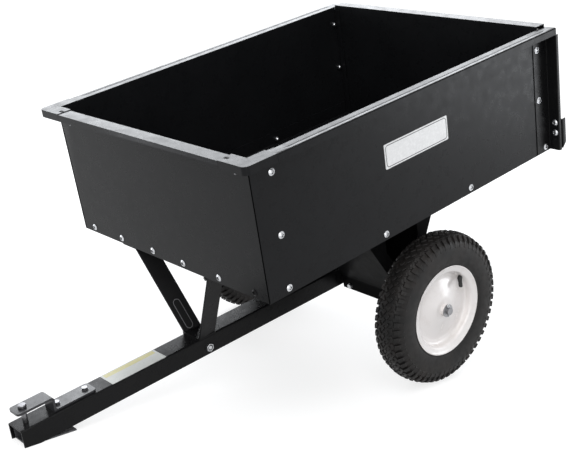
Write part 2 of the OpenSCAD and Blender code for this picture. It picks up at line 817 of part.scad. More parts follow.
module hitch_plate() {
  tab_top = tab_z + hitch_t;
  low_top = tongue_top + hitch_t;
  plan_l = hitch_rear - tab_front;
  color("slategray") in_tongue() difference() {
    intersection() {
      along_x(-hitch_w, hitch_w) polygon([
        [tab_front, tab_z], [tab_front, tab_top], [tab_rear, tab_top],
        [tab_rear + hitch_t, tab_top - hitch_t], [tab_rear + hitch_t, low_top], [hitch_rear, low_top],
        [hitch_rear, tongue_top], [tab_rear, tongue_top], [tab_rear, tab_z]
      ]);
      along_z(0, 2 * tab_z) translate([0, tab_front + plan_l / 2]) rounded(hitch_w, plan_l, hitch_corner_r);
    }
    translate([0, hitch_pin_y, 0]) cylinder(h = tab_z + 2 * hitch_t, r = hitch_pin_r + 0.1);
    for (y = hitch_bolt_y) translate([0, y, 0]) cylinder(h = tongue_h, r = hitch_bolt_r + hole_gap);
  }
}
module hitch_pin() {
  pin_foot_z = ground_z(hitch_pin_y) + skid_t / cos(tongue_pitch) + skid_play;
  color("silver") in_tongue() translate([0, hitch_pin_y, 0]) {
    translate([0, 0, pin_foot_z]) cylinder(h = tab_z + hitch_t + 1 - pin_foot_z, r = hitch_pin_r);
    translate([0, 0, tab_z + hitch_t + seat_gap]) cylinder(h = 7, r = hitch_pin_r + 3.5);
  }
}
module hitch_bolts() {
  color("silver") in_tongue() for (y = hitch_bolt_y) {
    translate([0, y, tongue_top + hitch_t]) hex_bolt(2 * hitch_bolt_r, 17, 6.5, hitch_t + tongue_t + 11);
  }
}
module hitch_nuts() {
  color("silver") in_tongue() for (y = hitch_bolt_y) {
    translate([0, y, tongue_top - tongue_t - 8]) hex_nut(2 * hitch_bolt_r, 17, 8);
  }
}
module skid() {
  ear_top = tongue_top - 18;
  lift = skid_t / cos(tongue_pitch);
  ear_rear = skid_front + skid_ear_l;
  color("black") in_tongue() {
    along_x(-skid_half, skid_half) polygon([
      [skid_front, ground_z(skid_front)], [skid_rear, ground_z(skid_rear)],
      [skid_rear, ground_z(skid_rear) + lift], [skid_front, ground_z(skid_front) + lift]
    ]);
    for (s = [-1, 1]) side(s) along_x(skid_half - 3, skid_half) polygon([
      [skid_front, ground_z(skid_front)], [ear_rear, ground_z(ear_rear)],
      [ear_rear - 12, ear_top], [skid_front, ear_top]
    ]);
  }
}
module catch_bolt() {
  color("silver") in_tongue() translate([0, -catch_y, catch_z]) {
    rod_x(latch_x - 12, tongue_half, catch_r);
    translate([tongue_half, 0, 0]) rotate([0, 90, 0]) cylinder(h = 7.5, r = 19 / sqrt(3), $fn = 6);
    rod_x(latch_x - 14, latch_x - 7, catch_r + 5);
  }
}

// Wheels: profiles are drawn as radius against distance out from the wheel's middle plane
module spun(s) {
  on_axle() side(s) translate([wheel_x, 0, 0]) rotate([0, 90, 0]) rotate_extrude() children();
}
module at_valve(s) {
  on_axle() side(s) rotate([-valve_turn, 0, 0]) translate([wheel_x + valve_x, 0, 0]) children();
}
module rim(s) {
  lip = rim_d / 2;
  edge = wheel_rim_w / 2;
  well = bead_r - 9;
  disc = edge - 16;
  color("white") difference() {
    spun(s) polygon([
      [lip, edge], [lip - 1.5, edge - 3], [lip - 8.5, edge - 5.5], [bead_r + 2.5, edge - 7.5],
      [bead_r, edge - 11], [bead_r - 1, edge - 24], [well, edge - 27],
      [well, 27 - edge], [bead_r - 1, 24 - edge], [bead_r, 11 - edge], [bead_r + 2.5, 7.5 - edge],
      [lip - 8.5, 5.5 - edge], [lip - 1.5, 3 - edge], [lip, -edge],
      [lip - 2.5, -edge], [lip - 3.5, 1.1 - edge], [lip - 9.5, 3 - edge], [bead_r + 1, 5 - edge],
      [bead_r - 2.5, 9.5 - edge], [bead_r - 3.5, 22 - edge], [well - rim_wall, 25 - edge],
      [well - rim_wall, disc - 14], [hub_r + 50, disc], [hub_r + 22, disc + 3], [hub_r + 14, disc],
      [hub_r, disc], [hub_r, disc + rim_wall], [hub_r + 13, disc + rim_wall],
      [hub_r + 22, disc + 3 + rim_wall], [hub_r + 51, disc + rim_wall], [well - rim_wall, disc - 11],
      [well - rim_wall, edge - 25], [bead_r - 3.5, edge - 22], [bead_r - 2.5, edge - 9.5],
      [bead_r + 1, edge - 5], [lip - 9.5, edge - 3], [lip - 3.5, edge - 1.1], [lip - 2.5, edge]
    ]);
    at_valve(s) translate([0, 0, bead_r - 12]) cylinder(h = 24, r = valve_r + hole_gap);
  }
}
module rim_left() { rim(-1); }
module rim_right() { rim(1); }

module tyre(s) {
  half = tyre_w / 2;
  edge = wheel_rim_w / 2;
  lip = rim_d / 2;
  top = tyre_d / 2;
  color("#202020") spun(s) difference() {
    polygon([
      [bead_r + 0.4, edge - 12], [bead_r + 3.3, edge - 7.6], [lip - 8.5, edge - 5.9],
      [lip - 1.5, edge - 3.4], [lip + 0.6, edge - 1.5], [bead_r + 0.3 * section_h, half - 0.6],
      [bead_r + 0.48 * section_h, half], [bead_r + 0.67 * section_h, half - 1],
      [top - 18, half - 3], [top - 8, half - 9], [top - 2, half - 20],
      [top, half - 34], [top, 34 - half], [top - 2, 20 - half],
      [top - 8, 9 - half], [top - 18, 3 - half], [bead_r + 0.67 * section_h, 1 - half],
      [bead_r + 0.48 * section_h, -half], [bead_r + 0.3 * section_h, 0.6 - half],
      [lip + 0.6, 1.5 - edge],
      [lip - 1.5, 3.4 - edge], [lip - 8.5, 5.9 - edge], [bead_r + 3.3, 7.6 - edge],
      [bead_r + 0.4, 12 - edge]
    ]);
    translate([tube_centre, 0]) circle(cavity_r);
    translate([bead_r - 20, 18 - edge]) square([tube_centre + 12 - bead_r, wheel_rim_w - 36]);
  }
}
module tyre_left() { tyre(-1); }
module tyre_right() { tyre(1); }

module inner_tube(s) {
  color("black") difference() {
    spun(s) translate([tube_centre, 0]) circle(tube_r);
    spun(s) translate([tube_centre, 0]) circle(tube_r - tube_wall);
    at_valve(s) cylinder(h = tube_centre, r = valve_r);
  }
}
module inner_tube_left() { inner_tube(-1); }
module inner_tube_right() { inner_tube(1); }

module hub(s) {
  color("lightgray") on_axle() side(s) tube_x(hub_in, hub_out, hub_r - 0.05, hub_bore);
}
module hub_left() { hub(-1); }
module hub_right() { hub(1); }

module bushings(s) {
  color("ivory") on_axle() side(s) {
    tube_x(hub_in + 0.1, hub_in + bush_l, hub_bore - 0.05, pivot_r);
    tube_x(hub_out - bush_l, hub_out - 0.1, hub_bore - 0.05, pivot_r);
  }
}
module bushings_left() { bushings(-1); }
module bushings_right() { bushings(1); }

module valve(s) {
  seat = bead_r - 3.9;
  color("black") {
    at_valve(s) translate([0, 0, seat - 6]) cylinder(h = 6, r = valve_collar);
    at_valve(s) translate([0, 0, seat - 4]) rotate([0, 143, 0]) cylinder(h = valve_stem_l, r = valve_r);
    at_valve(s) translate([0, 0, seat - 2]) cylinder(h = 5, r = valve_r);
  }
}
module valve_left() { valve(-1); }
module valve_right() { valve(1); }

tongue();
pivot_sleeve();
hitch_plate();
hitch_bolts();
hitch_nuts();
skid();
catch_bolt();
hitch_pin();
floor_panel();
front_panel();
side_panel_left();
side_panel_right();
corner_left();
corner_right();
gate_guide_left();
gate_guide_right();
gate_channel_left();
gate_channel_right();
gate_bracket_left();
gate_bracket_right();
tray_bolts();
tray_nuts();
stand_front();
stand_rear();
axle_beam_left();
axle_beam_right();
axle_bracket_left();
axle_bracket_right();
axle();
axle_sleeves();
wheel_spacers();
wheel_washers();
cotter_pins();
leg_left();
leg_right();
leg_foot();
frame_bolts();
frame_nuts();
latch_pivot();
tailgate();
latch_lever();
latch_grip();
rim_left();
tyre_left();
inner_tube_left();
hub_left();
bushings_left();
valve_left();
rim_right();
tyre_right();
inner_tube_right();
hub_right();
bushings_right();
valve_right();
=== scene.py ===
"""Tipping dump cart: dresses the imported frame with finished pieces, and adds the camera, the light and the floor."""

import logging
import math
from dataclasses import dataclass, field
from enum import Enum
from typing import Callable, Iterable, Optional, Sequence

import bmesh
import bpy
from mathutils import Matrix, Vector


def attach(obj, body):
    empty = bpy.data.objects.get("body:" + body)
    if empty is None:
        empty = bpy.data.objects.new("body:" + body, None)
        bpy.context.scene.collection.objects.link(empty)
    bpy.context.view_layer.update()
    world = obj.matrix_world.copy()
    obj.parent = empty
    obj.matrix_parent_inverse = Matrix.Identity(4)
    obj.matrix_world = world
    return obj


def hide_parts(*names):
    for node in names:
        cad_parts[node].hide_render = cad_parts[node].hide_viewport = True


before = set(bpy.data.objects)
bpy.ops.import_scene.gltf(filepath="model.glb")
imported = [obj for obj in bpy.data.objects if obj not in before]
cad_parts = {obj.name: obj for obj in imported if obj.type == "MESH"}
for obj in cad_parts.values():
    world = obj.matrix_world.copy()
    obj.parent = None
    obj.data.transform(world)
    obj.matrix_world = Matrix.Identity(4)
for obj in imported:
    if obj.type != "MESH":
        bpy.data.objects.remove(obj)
LOG = logging.getLogger("dump_cart")

Mesh = bmesh.types.BMesh
Piece = bpy.types.Object
Socket = bpy.types.NodeSocket
Colour = tuple[float, float, float]
Profile = Sequence[tuple[float, float]]


def turn(degrees: float, axis: str = "X") -> Matrix:
    """Gives the turn by an angle about an axis."""
    return Matrix.Rotation(math.radians(degrees), 4, axis)



# The axle, and the frames in which the tray and the tongue are square, at rest.
AXLE = Vector((0.0, 0.283621, 0.2))
TRAY = Matrix.Translation(AXLE) @ turn(12.2)
TONGUE = Matrix.Translation(AXLE) @ turn(10.4)

# Limits for the mesh work, in metres and radians.
WELD = 1e-6
FLAT = math.radians(0.4)
LEVEL_SPAN = 0.0004
SHORT_FOLD, FOLD_ANGLE = 0.008, math.radians(20)
SHORT_CUT, CUT_ANGLE = 0.0022, math.radians(50)
RIM_SHARE = 0.97
VALVE_STEPS = 24
ROLL = Vector((0.31, 0.52, 0.79))

# Tones, and the Mix node's sockets for colours.
WHITE = (1.0, 1.0, 1.0, 1.0)
COOL = (0.93, 0.96, 1.0)
DUST_TONE = 0.05
COLOUR_A, COLOUR_B, COLOUR_OUT = 6, 7, 2


class Body(str, Enum):
    """The moving bodies that a piece can ride on."""

    TONGUE = "tongue"
    PIN = "hitch_pin"
    TRAY = "tray"
    TAILGATE = "tailgate"
    LATCH = "latch"
    WHEEL_LEFT = "wheel_left"
    WHEEL_RIGHT = "wheel_right"


class Slot(str, Enum):
    """The record's material slots."""

    PANEL = "panel_black"
    FRAME = "frame_black"
    HITCH = "hitch_black"
    ZINC = "zinc"
    AXLE = "axle_steel"
    WHEEL = "wheel_white"
    TYRE = "tyre"
    TUBE = "tube_rubber"
    BUSHING = "bushing"
    GRIP = "grip"


class Side(Enum):
    """The two sides of the cart, with the sign of X and the ending of the node names."""

    LEFT = (-1, "left")
    RIGHT = (1, "right")

    @property
    def sign(self) -> int:
        """Sign of X on this side."""
        return self.value[0]

    @property
    def mirror(self) -> Matrix:
        """Takes a shape of the right side to this side."""
        return Matrix.Diagonal((self.sign, 1, 1, 1))

    @property
    def word(self) -> str:
        """Ending of this side's node names."""
        return self.value[1]

    @property
    def wheel(self) -> Body:
        """The wheel on this side."""
        return Body.WHEEL_LEFT if self is Side.LEFT else Body.WHEEL_RIGHT


# Finishes


class Nodes:
    """Adds nodes to one node tree."""

    def __init__(self, tree: bpy.types.NodeTree) -> None:
        """Empties the tree."""
        self.tree = tree
        tree.nodes.clear()

    def feed(self, target: Socket, value: object) -> None:
        """Joins another socket to a socket, or sets its value."""
        if isinstance(value, Socket):
            self.tree.links.new(value, target)
        else:
            target.default_value = value

    def node(self, kind: str, **inputs: object) -> bpy.types.Node:
        """Adds a node.

        Args:
            kind: the node's type without ShaderNode in front.
            inputs: a socket or a value for each input, with _ for a space in its name.

        Returns:
            The node.
        """
        made = self.tree.nodes.new("ShaderNode" + kind)
        for name, value in inputs.items():
            self.feed(made.inputs[name.replace("_", " ")], value)
        return made

    def worked(self, operation: str, *values: object) -> Socket:
        """Gives the result of a Math node on sockets or numbers."""
        made = self.node("Math")
        made.operation = operation
        for socket, value in zip(made.inputs, values):
            self.feed(socket, value)
        return made.outputs[0]

    def seen(self) -> Socket:
        """Gives 1 where a ray looks directly, in a gloss or through something clear, and else 0."""
        rays = self.node("LightPath").outputs
        direct = self.worked("MAXIMUM", rays["Is Camera Ray"], rays["Is Glossy Ray"])
        return self.worked("MAXIMUM", direct, rays["Is Transmission Ray"])


class Shader(Nodes):
    """Builds one node material around a Principled shader."""

    def __init__(self, name: str) -> None:
        """Starts a material of a name."""
        self.material = bpy.data.materials.new(name)
        self.material.use_nodes = True
        super().__init__(self.material.node_tree)
        self.surface = self.node("BsdfPrincipled")
        self.node("OutputMaterial", Surface=self.surface.outputs["BSDF"])
        self.place = self.node("TexCoord").outputs["Object"]

    def dress(self, **inputs: object) -> None:
        """Feeds the surface's own inputs, with _ for a space in a name."""
        for name, value in inputs.items():
            self.feed(self.surface.inputs[name.replace("_", " ")], value)

    def noise(self, scale: float, detail: float = 3.0, rough: float = 0.55,
              stretch: Optional[Sequence[float]] = None) -> Socket:
        """Gives a noise value on Object coordinates.

        Args:
            scale: waves a metre.
            detail: number of octaves.
            rough: strength of the finer octaves.
            stretch: further scale along X, Y and Z, if wanted.

        Returns:
            The noise value, about 0.5 in the middle.
        """
        vector = self.place
        if stretch is not None:
            vector = self.node("Mapping", Scale=stretch, Vector=self.place).outputs["Vector"]
        return self.node("TexNoise", Scale=scale, Detail=detail, Roughness=rough, Vector=vector).outputs["Fac"]

    def spread(self, value: Socket, low: float, high: float,
               start: float = 0.3, stop: float = 0.7) -> Socket:
        """Maps a value from the span start to stop to the span low to high."""
        made = self.node("MapRange", Value=value, From_Min=start, From_Max=stop, To_Min=low, To_Max=high)
        return made.outputs["Result"]

    def mottled(self, value: Socket, first: object, second: object,
                start: float = 0.3, stop: float = 0.7, share: float = 1.0) -> Socket:
        """Mixes two colours by a value.

        Args:
            value: the value that mixes them.
            first: colour where the value is at start, or a socket.
            second: colour towards which it goes at stop, or a socket.
            start: value where the mix begins.
            stop: value where the mix ends.
            share: share of the second colour at stop.

        Returns:
            The mixed colour.
        """
        mix = self.node("Mix", Factor=self.spread(value, 0.0, share, start, stop))
        mix.data_type = "RGBA"
        for index, colour in ((COLOUR_A, first), (COLOUR_B, second)):
            self.feed(mix.inputs[index], colour if isinstance(colour, Socket) else (*colour, 1.0))
        return mix.outputs[COLOUR_OUT]

    def bump(self, value: Socket, height: float, strength: float = 1.0,
             **after: Socket) -> Socket:
        """Adds relief to the surface.

        Args:
            value: the height, 0 to 1.
            height: depth of the relief in metres.
            strength: share of the relief that shows.
            after: another bump's normal to add to, as Normal.

        Returns:
            The bumped normal.
        """
        made = self.node("Bump", Height=value, Distance=height, Strength=strength, **after)
        self.dress(Normal=made.outputs["Normal"])
        return made.outputs["Normal"]


@dataclass(frozen=True)
class Finish:
    """A finish with a name, a slot and a base colour; each kind of finish draws its own nodes."""

    name: str
    slot: Slot
    colour: Colour

    def shade(self, *shares: float) -> Colour:
        """Gives the colour made lighter or darker, by one share or by one for each channel."""
        return tuple(c * shares[i % len(shares)] for i, c in enumerate(self.colour))

    def draw(self, shader: Shader) -> None:
        """Draws the finish's nodes."""
        raise NotImplementedError

    def material(self) -> bpy.types.Material:
        """Gives the finish's material, made once."""
        found = bpy.data.materials.get(self.name)
        if found is not None:
            return found
        shader = Shader(self.name)
        self.draw(shader)
        return shader.material


@dataclass(frozen=True)
class PowderCoat(Finish):
    """Satin powder paint with orange peel, a little cloudiness and light dust."""

    rough: float = 0.29
    peel: float = 0.00012
    gloss: float = 0.10
    dust: float = 0.25

    def draw(self, shader: Shader) -> None:
        """Draws the paint."""
        dusty = tuple(c + (DUST_TONE - c) * self.dust for c in self.colour)
        cloudy = shader.mottled(shader.noise(7.0, 4.0), self.colour, self.shade(1.35))
        shader.dress(Base_Color=shader.mottled(shader.noise(260.0, 2.0), cloudy, dusty, 0.62, 0.78, 0.5),
                     Roughness=shader.spread(shader.noise(38.0, 3.0, 0.6), self.rough - 0.05, self.rough + 0.07),
                     Specular_IOR_Level=self.gloss)
        wide = shader.bump(shader.noise(60.0, 1.0), self.peel * 1.5, 0.35)
        shader.bump(shader.noise(650.0, 2.0, 0.45), self.peel, 0.5, Normal=wide)


@dataclass(frozen=True)
class Zinc(Finish):
    """Bright zinc plating with faint grain."""

    rough: float = 0.27

    def draw(self, shader: Shader) -> None:
        """Draws the plating."""
        shader.dress(Base_Color=shader.mottled(shader.noise(180.0), self.shade(0.8), self.colour),
                     Roughness=shader.spread(shader.noise(320.0), self.rough - 0.06, self.rough + 0.1),
                     Metallic=1.0)
        shader.bump(shader.noise(1400.0, 2.0), 0.00003, 0.6)


@dataclass(frozen=True)
class TurnedSteel(Finish):
    """Turned or drawn steel with fine lines round or along it."""

    rough: float = 0.32

    def draw(self, shader: Shader) -> None:
        """Draws the lines and the tone."""
        lines = shader.noise(90.0, 4.0, 0.7, stretch=(14.0, 1.0, 1.0))
        shader.dress(Base_Color=shader.mottled(lines, self.shade(0.7), self.colour),
                     Roughness=shader.spread(lines, self.rough - 0.06, self.rough + 0.08), Metallic=1.0)
        shader.bump(lines, 0.00004, 0.5)


@dataclass(frozen=True)
class WheelEnamel(Finish):
    """Thick white enamel on pressed steel, with faint waviness and a little grime."""

    rough: float = 0.2

    def draw(self, shader: Shader) -> None:
        """Draws the enamel."""
        grime = shader.noise(26.0, 5.0, 0.62)
        shader.dress(Base_Color=shader.mottled(grime, self.colour, self.shade(0.86, 0.84, 0.82), 0.5, 0.8),
                     Roughness=shader.spread(grime, self.rough - 0.04, self.rough + 0.1),
                     Specular_IOR_Level=0.55, Coat_Weight=0.25)
        wide = shader.bump(shader.noise(45.0, 1.0), 0.0004, 0.22)
        shader.bump(shader.noise(520.0, 2.0, 0.4), 0.00007, 0.4, Normal=wide)


@dataclass(frozen=True)
class TyreRubber(Finish):
    """Black tyre rubber, matt, with a faint brown bloom and a fine moulded grain."""

    bloom: Colour = (0.0135, 0.0112, 0.0102)
    rough: float = 0.5

    def draw(self, shader: Shader) -> None:
        """Draws the rubber."""
        cloud = shader.noise(16.0, 5.0, 0.6)
        shader.dress(Base_Color=shader.mottled(cloud, self.colour, self.bloom, 0.38, 0.68),
                     Roughness=shader.spread(shader.noise(70.0), self.rough - 0.1, self.rough + 0.12),
                     Specular_IOR_Level=0.2)
        grain = shader.bump(shader.noise(900.0, 3.0, 0.6), 0.00016, 0.55)
        shader.bump(shader.noise(120.0, 2.0), 0.0005, 0.25, Normal=grain)


@dataclass(frozen=True)
class Moulding(Finish):
    """Plain moulded plastic or rubber with a fine spark texture."""

    rough: float = 0.5

    def draw(self, shader: Shader) -> None:
        """Draws the moulding."""
        shader.dress(Base_Color=shader.mottled(shader.noise(55.0), self.shade(0.78), self.colour),
                     Roughness=shader.spread(shader.noise(240.0), self.rough - 0.07, self.rough + 0.09))
        shader.bump(shader.noise(1500.0, 2.0), 0.00006, 0.6)


@dataclass(frozen=True)
class PrintedFilm(Finish):
    """Satin printed film or plate, blank, with a faint unevenness."""

    rough: float = 0.3

    def draw(self, shader: Shader) -> None:
        """Draws the film."""
        shader.dress(Base_Color=shader.mottled(shader.noise(75.0), self.colour, self.shade(0.93)),
                     Roughness=shader.spread(shader.noise(140.0), self.rough - 0.04, self.rough + 0.08))
        shader.bump(shader.noise(180.0, 1.0), 0.00008, 0.3)


PANEL_PAINT = PowderCoat("panel_paint", Slot.PANEL, (0.0056, 0.0058, 0.0064))
FRAME_PAINT = PowderCoat("frame_paint", Slot.FRAME, (0.0052, 0.0052, 0.0055), rough=0.28)
STAND_PAINT = PowderCoat("stand_paint", Slot.FRAME, (0.0050, 0.0050, 0.0053), rough=0.36, gloss=0.01)
HITCH_PAINT = PowderCoat("hitch_paint", Slot.HITCH, (0.011, 0.011, 0.013), rough=0.3, gloss=0.42, dust=0.5)
LEG_PAINT = PowderCoat("leg_paint", Slot.FRAME, (0.0125, 0.0125, 0.0130), rough=0.3, gloss=0.03)
# Light grey band on the black legs' bosses: painted highlight.
RIB_PAINTED_HIGHLIGHT = PowderCoat("rib_painted_highlight", Slot.FRAME, (0.115, 0.115, 0.120), rough=0.34, gloss=0.3)
# Near-black strips in the gaps at the tray's front corners: painted shade.
SEAM_PAINTED_SHADE = PowderCoat("seam_painted_shade", Slot.PANEL, (0.0010, 0.0010, 0.0011), rough=0.6, gloss=0.0, dust=0.0)
# Mid grey, much lighter than the frame's black: painted sheen for the skid's top seen at a grazing angle, with dust
# specks.
SKID_PAINTED_SHEEN = PowderCoat("skid_painted_sheen", Slot.FRAME, (0.060, 0.060, 0.064), rough=0.42, gloss=0.3, dust=0.6)
ZINC = Zinc("bright_zinc", Slot.ZINC, (0.60, 0.61, 0.63))
DULL_ZINC = Zinc("dull_zinc", Slot.ZINC, (0.26, 0.26, 0.27), rough=0.3)
PIN_STEEL = TurnedSteel("pin_steel", Slot.ZINC, (0.24, 0.24, 0.25))
AXLE_STEEL = TurnedSteel("axle_drawn_steel", Slot.AXLE, (0.30, 0.30, 0.31))
ENAMEL = WheelEnamel("wheel_enamel", Slot.WHEEL, (0.80, 0.765, 0.75))
RUBBER = TyreRubber("tyre_rubber", Slot.TYRE, (0.0048, 0.0046, 0.0046))
# Dark zinc for the inside of bolt recesses and the catch bolt's sunk ring: painted shade.
RECESS_PAINTED_SHADE = Zinc("recess_painted_shade", Slot.ZINC, (0.04, 0.04, 0.042), rough=0.5)
WASHER_ZINC = Zinc("washer_zinc", Slot.ZINC, (0.34, 0.34, 0.35), rough=0.42)
# Darker paint for the corner slots: painted shade in a recess.
GAP_PAINTED_SHADE = Moulding("gap_painted_shade", Slot.PANEL, (0.004, 0.004, 0.0042), rough=0.7)
TUBE_RUBBER = TyreRubber("tube_rubber", Slot.TUBE, (0.014, 0.014, 0.014), rough=0.5)
BUSH_PLASTIC = Moulding("bush_plastic", Slot.BUSHING, (0.62, 0.58, 0.48))
GRIP_VINYL = Moulding("grip_vinyl", Slot.GRIP, (0.02, 0.02, 0.021), rough=0.44)
PLATE_WHITE = PrintedFilm("plate_white", Slot.PANEL, (0.80, 0.80, 0.80), rough=0.24)
PLATE_LINE = PrintedFilm("plate_line", Slot.PANEL, (0.035, 0.037, 0.037))
LABEL_GREY = PrintedFilm("label_grey", Slot.FRAME, (0.37, 0.38, 0.36))
LABEL_YELLOW = PrintedFilm("label_yellow", Slot.FRAME, (0.40, 0.36, 0.12))


# Shaping helpers


def bevel(bm: Mesh, geom: Sequence[bmesh.types.BMEdge], offset: float, segments: int,
          affect: str = "EDGES", clamp: bool = False) -> None:
    """Rounds edges or corners of a mesh.

    Args:
        bm: the mesh.
        geom: the edges, or the corners; without any, nothing is done.
        offset: size of the rounding.
        segments: number of steps across it.
        affect: EDGES or VERTICES.
        clamp: True stops neighbours from running into each other.
    """
    if geom:
        bmesh.ops.bevel(bm, geom=geom, offset=offset, offset_type="OFFSET", segments=segments, profile=0.5,
                        affect=affect, material=-1, clamp_overlap=clamp)


def move(bm: Mesh, matrix: Matrix) -> None:
    """Moves a whole mesh by a matrix, and keeps its faces outwards if that mirrors it."""
    bmesh.ops.transform(bm, matrix=matrix, verts=bm.verts)
    if matrix.to_3x3().determinant() < 0:
        bmesh.ops.reverse_faces(bm, faces=bm.faces)


def box(x: float, y: float, z: float) -> Mesh:
    """Builds a box of the given sizes, centred on the origin."""
    bm = bmesh.new()
    bmesh.ops.create_cube(bm, size=1.0)
    bmesh.ops.scale(bm, vec=(x, y, z), verts=bm.verts)
    return bm


def join_flats(bm: Mesh) -> None:
    """Joins the triangles of each flat face."""
    bmesh.ops.dissolve_limit(bm, angle_limit=FLAT, verts=bm.verts, edges=bm.edges, use_dissolve_boundaries=False)


def merged(node: str) -> Mesh:
    """Copies a CAD node's mesh with its loose triangles joined.

    Args:
        node: name of the CAD node.

    Returns:
        The joined mesh.
    """
    bm = bmesh.new()
    bm.from_mesh(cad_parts[node].data)
    bmesh.ops.remove_doubles(bm, verts=bm.verts, dist=2 * WELD)
    return bm


def place(bm: Mesh, name: str, body: Body, finishes: Sequence[Finish],
          replaces: Iterable[str] = (), sharp: float = 34.0) -> Piece:
    """Makes a finished piece of a mesh and hangs it on its body.

    Args:
        bm: the mesh, in the cart's frame; it is freed.
        name: the piece's name.
        body: the body that carries it.
        finishes: one finish for each material index.
        replaces: CAD nodes that the piece stands for.
        sharp: angle in degrees from which an edge stays sharp.

    Returns:
        The piece.
    """
    mesh = bpy.data.meshes.new(name)
    bm.to_mesh(mesh)
    bm.free()
    mesh.shade_smooth()
    mesh.set_sharp_from_angle(angle=math.radians(sharp))
    piece = hang(name, mesh)
    for finish in finishes:
        mesh.materials.append(finish.material())
    even = piece.modifiers.new("even_normals", "WEIGHTED_NORMAL")
    even.keep_sharp = True
    even.weight = 60
    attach(piece, body.value)
    if replaces:
        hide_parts(*replaces)
    LOG.info("piece %s: %d faces, rides on %s", name, len(mesh.polygons), body.value)
    return piece


def hang(name: str, data: bpy.types.ID) -> Piece:
    """Puts data into the scene as an object of that name."""
    made = bpy.data.objects.new(name, data)
    bpy.context.scene.collection.objects.link(made)
    return made


def repaint(node: str, finish: Finish) -> None:
    """Gives a CAD node that stays a finish on all its slots."""
    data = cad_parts[node].data
    if not data.materials:
        data.materials.append(finish.material())
    for index in range(len(data.materials)):
        data.materials[index] = finish.material()
    LOG.info("node %s: %s", node, finish.name)


def face_width(face: bmesh.types.BMFace) -> float:
    """Gives the width of a long face, or about half the side of a square one."""
    around = sum(edge.calc_length() for edge in face.edges)
    return 2.0 * face.calc_area() / around if around > 0 else 0.0


def round_edges(bm: Mesh, fold: float, inner: float, cut: float, wide: float = 0.0042) -> None:
    """Rounds a sheet part as a press does: folds get bend radii, cut edges a small break.

    Args:
        bm: the joined mesh.
        fold: bend radius outside a fold.
        inner: bend radius inside a fold.
        cut: break on the cut edges.
        wide: width from which a face counts as the sheet's own surface.
    """
    join_flats(bm)

    def folds(convex: bool) -> list[bmesh.types.BMEdge]:
        """Gives the fold edges that bulge outwards, or those inside the folds."""
        return [e for e in bm.edges if len(e.link_faces) == 2 and e.calc_length() >= SHORT_FOLD
                and e.is_convex == convex and e.calc_face_angle() > FOLD_ANGLE
                and all(face_width(f) > wide for f in e.link_faces)]

    if inner > 0:
        bevel(bm, folds(False), inner, 3, clamp=True)
    if fold > 0:
        bevel(bm, folds(True), fold, 4, clamp=True)
    if cut > 0:
        bevel(bm, [e for e in bm.edges if len(e.link_faces) == 2 and e.is_convex and e.calc_length() > SHORT_CUT
                   and e.calc_face_angle() > CUT_ANGLE], cut, 2, clamp=True)


def turned(profile: Profile, steps: int, closed: bool = False,
           rounding: Optional[dict[int, float]] = None) -> Mesh:
    """Turns a profile of radius and height into a solid round Z.

    Args:
        profile: radius and height of each point in metres, with the outside on the right of its path upwards.
        steps: steps round.
        closed: True joins the last point to the first, for a ring.
        rounding: radius for some corners, by index.

    Returns:
        The turned mesh, with its faces outwards.
    """
    bm = bmesh.new()
    points = [bm.verts.new((r, 0.0, z)) for r, z in profile]
    for first, second in zip(points, points[1:]):
        bm.edges.new((first, second))
    if closed:
        bm.edges.new((points[-1], points[0]))
    for index, radius in (rounding or {}).items():
        bevel(bm, [points[index]], radius, 4, affect="VERTICES")
    bmesh.ops.spin(bm, geom=bm.verts[:] + bm.edges[:], cent=(0, 0, 0), axis=(0, 0, 1), angle=math.tau,
                   steps=steps, use_merge=True)
    bmesh.ops.remove_doubles(bm, verts=bm.verts, dist=WELD)
    bmesh.ops.recalc_face_normals(bm, faces=bm.faces)
    return bm


def flipped(profile: Profile) -> list[tuple[float, float]]:
    """Mirrors a profile in the middle plane, with its path turned round."""
    return [(r, -z) for r, z in reversed(profile)]


def slab(length: float, height: float, depth: float, corner: float, crown: float = 0.0) -> Mesh:
    """Builds a flat slab across X with rounded corners.

    Args:
        length: size along Y.
        height: size along Z.
        depth: size along X.
        corner: radius of the corners.
        crown: radius of the edge round its +X face.

    Returns:
        The slab, centred on the origin.
    """
    bm = box(depth, length, height)
    across = [e for e in bm.edges if abs(e.verts[0].co.x - e.verts[1].co.x) > depth * 0.5]
    bevel(bm, across, corner, 8)
    if crown > 0:
        bevel(bm, [e for e in bm.edges if all(v.co.x > depth * 0.4 for v in e.verts)], crown, 4)
    return bm


def cut_plane(bm: Mesh, geom: list, axis: int, at: float) -> None:
    """Cuts a line into part of a mesh where one coordinate has a value."""
    point = Vector([at if i == axis else 0.0 for i in range(3)])
    normal = Vector([1.0 if i == axis else 0.0 for i in range(3)])
    bmesh.ops.bisect_plane(bm, geom=geom, plane_co=point, plane_no=normal, dist=WELD)


def scribe(bm: Mesh, lines: Iterable[tuple[int, float]], level: float) -> None:
    """Cuts lines into the level faces of a mesh without moving anything.

    Args:
        bm: the mesh, turned so that the faces to cut look along +Z.
        lines: the axis across each line, and the line's place along it.
        level: height of the faces to cut.
    """
    for axis, at in lines:
        faces = [f for f in bm.faces if f.normal.z > 0.99 and abs(f.calc_center_median().z - level) < LEVEL_SPAN]
        around = {e for f in faces for e in f.edges} | {v for f in faces for v in f.verts}
        cut_plane(bm, faces + list(around), axis, at)


def inset(bm: Mesh, face: bmesh.types.BMFace, thickness: float, depth: float = 0.0,
          index: int = 0) -> None:
    """Shrinks a face inside a band of new faces.

    Args:
        bm: the mesh.
        face: the face.
        thickness: width of the band.
        depth: how far the face is raised, or sunk if negative.
        index: material index of the band.
    """
    band = bmesh.ops.inset_region(bm, faces=[face], thickness=thickness, depth=depth, use_even_offset=True)
    for part in band["faces"]:
        part.material_index = index


def outermost(bm: Mesh) -> bmesh.types.BMFace:
    """Gives the face furthest along X, and the larger of two that are level."""
    return max(bm.faces, key=lambda f: f.calc_center_median().x * 1000 + f.calc_area())


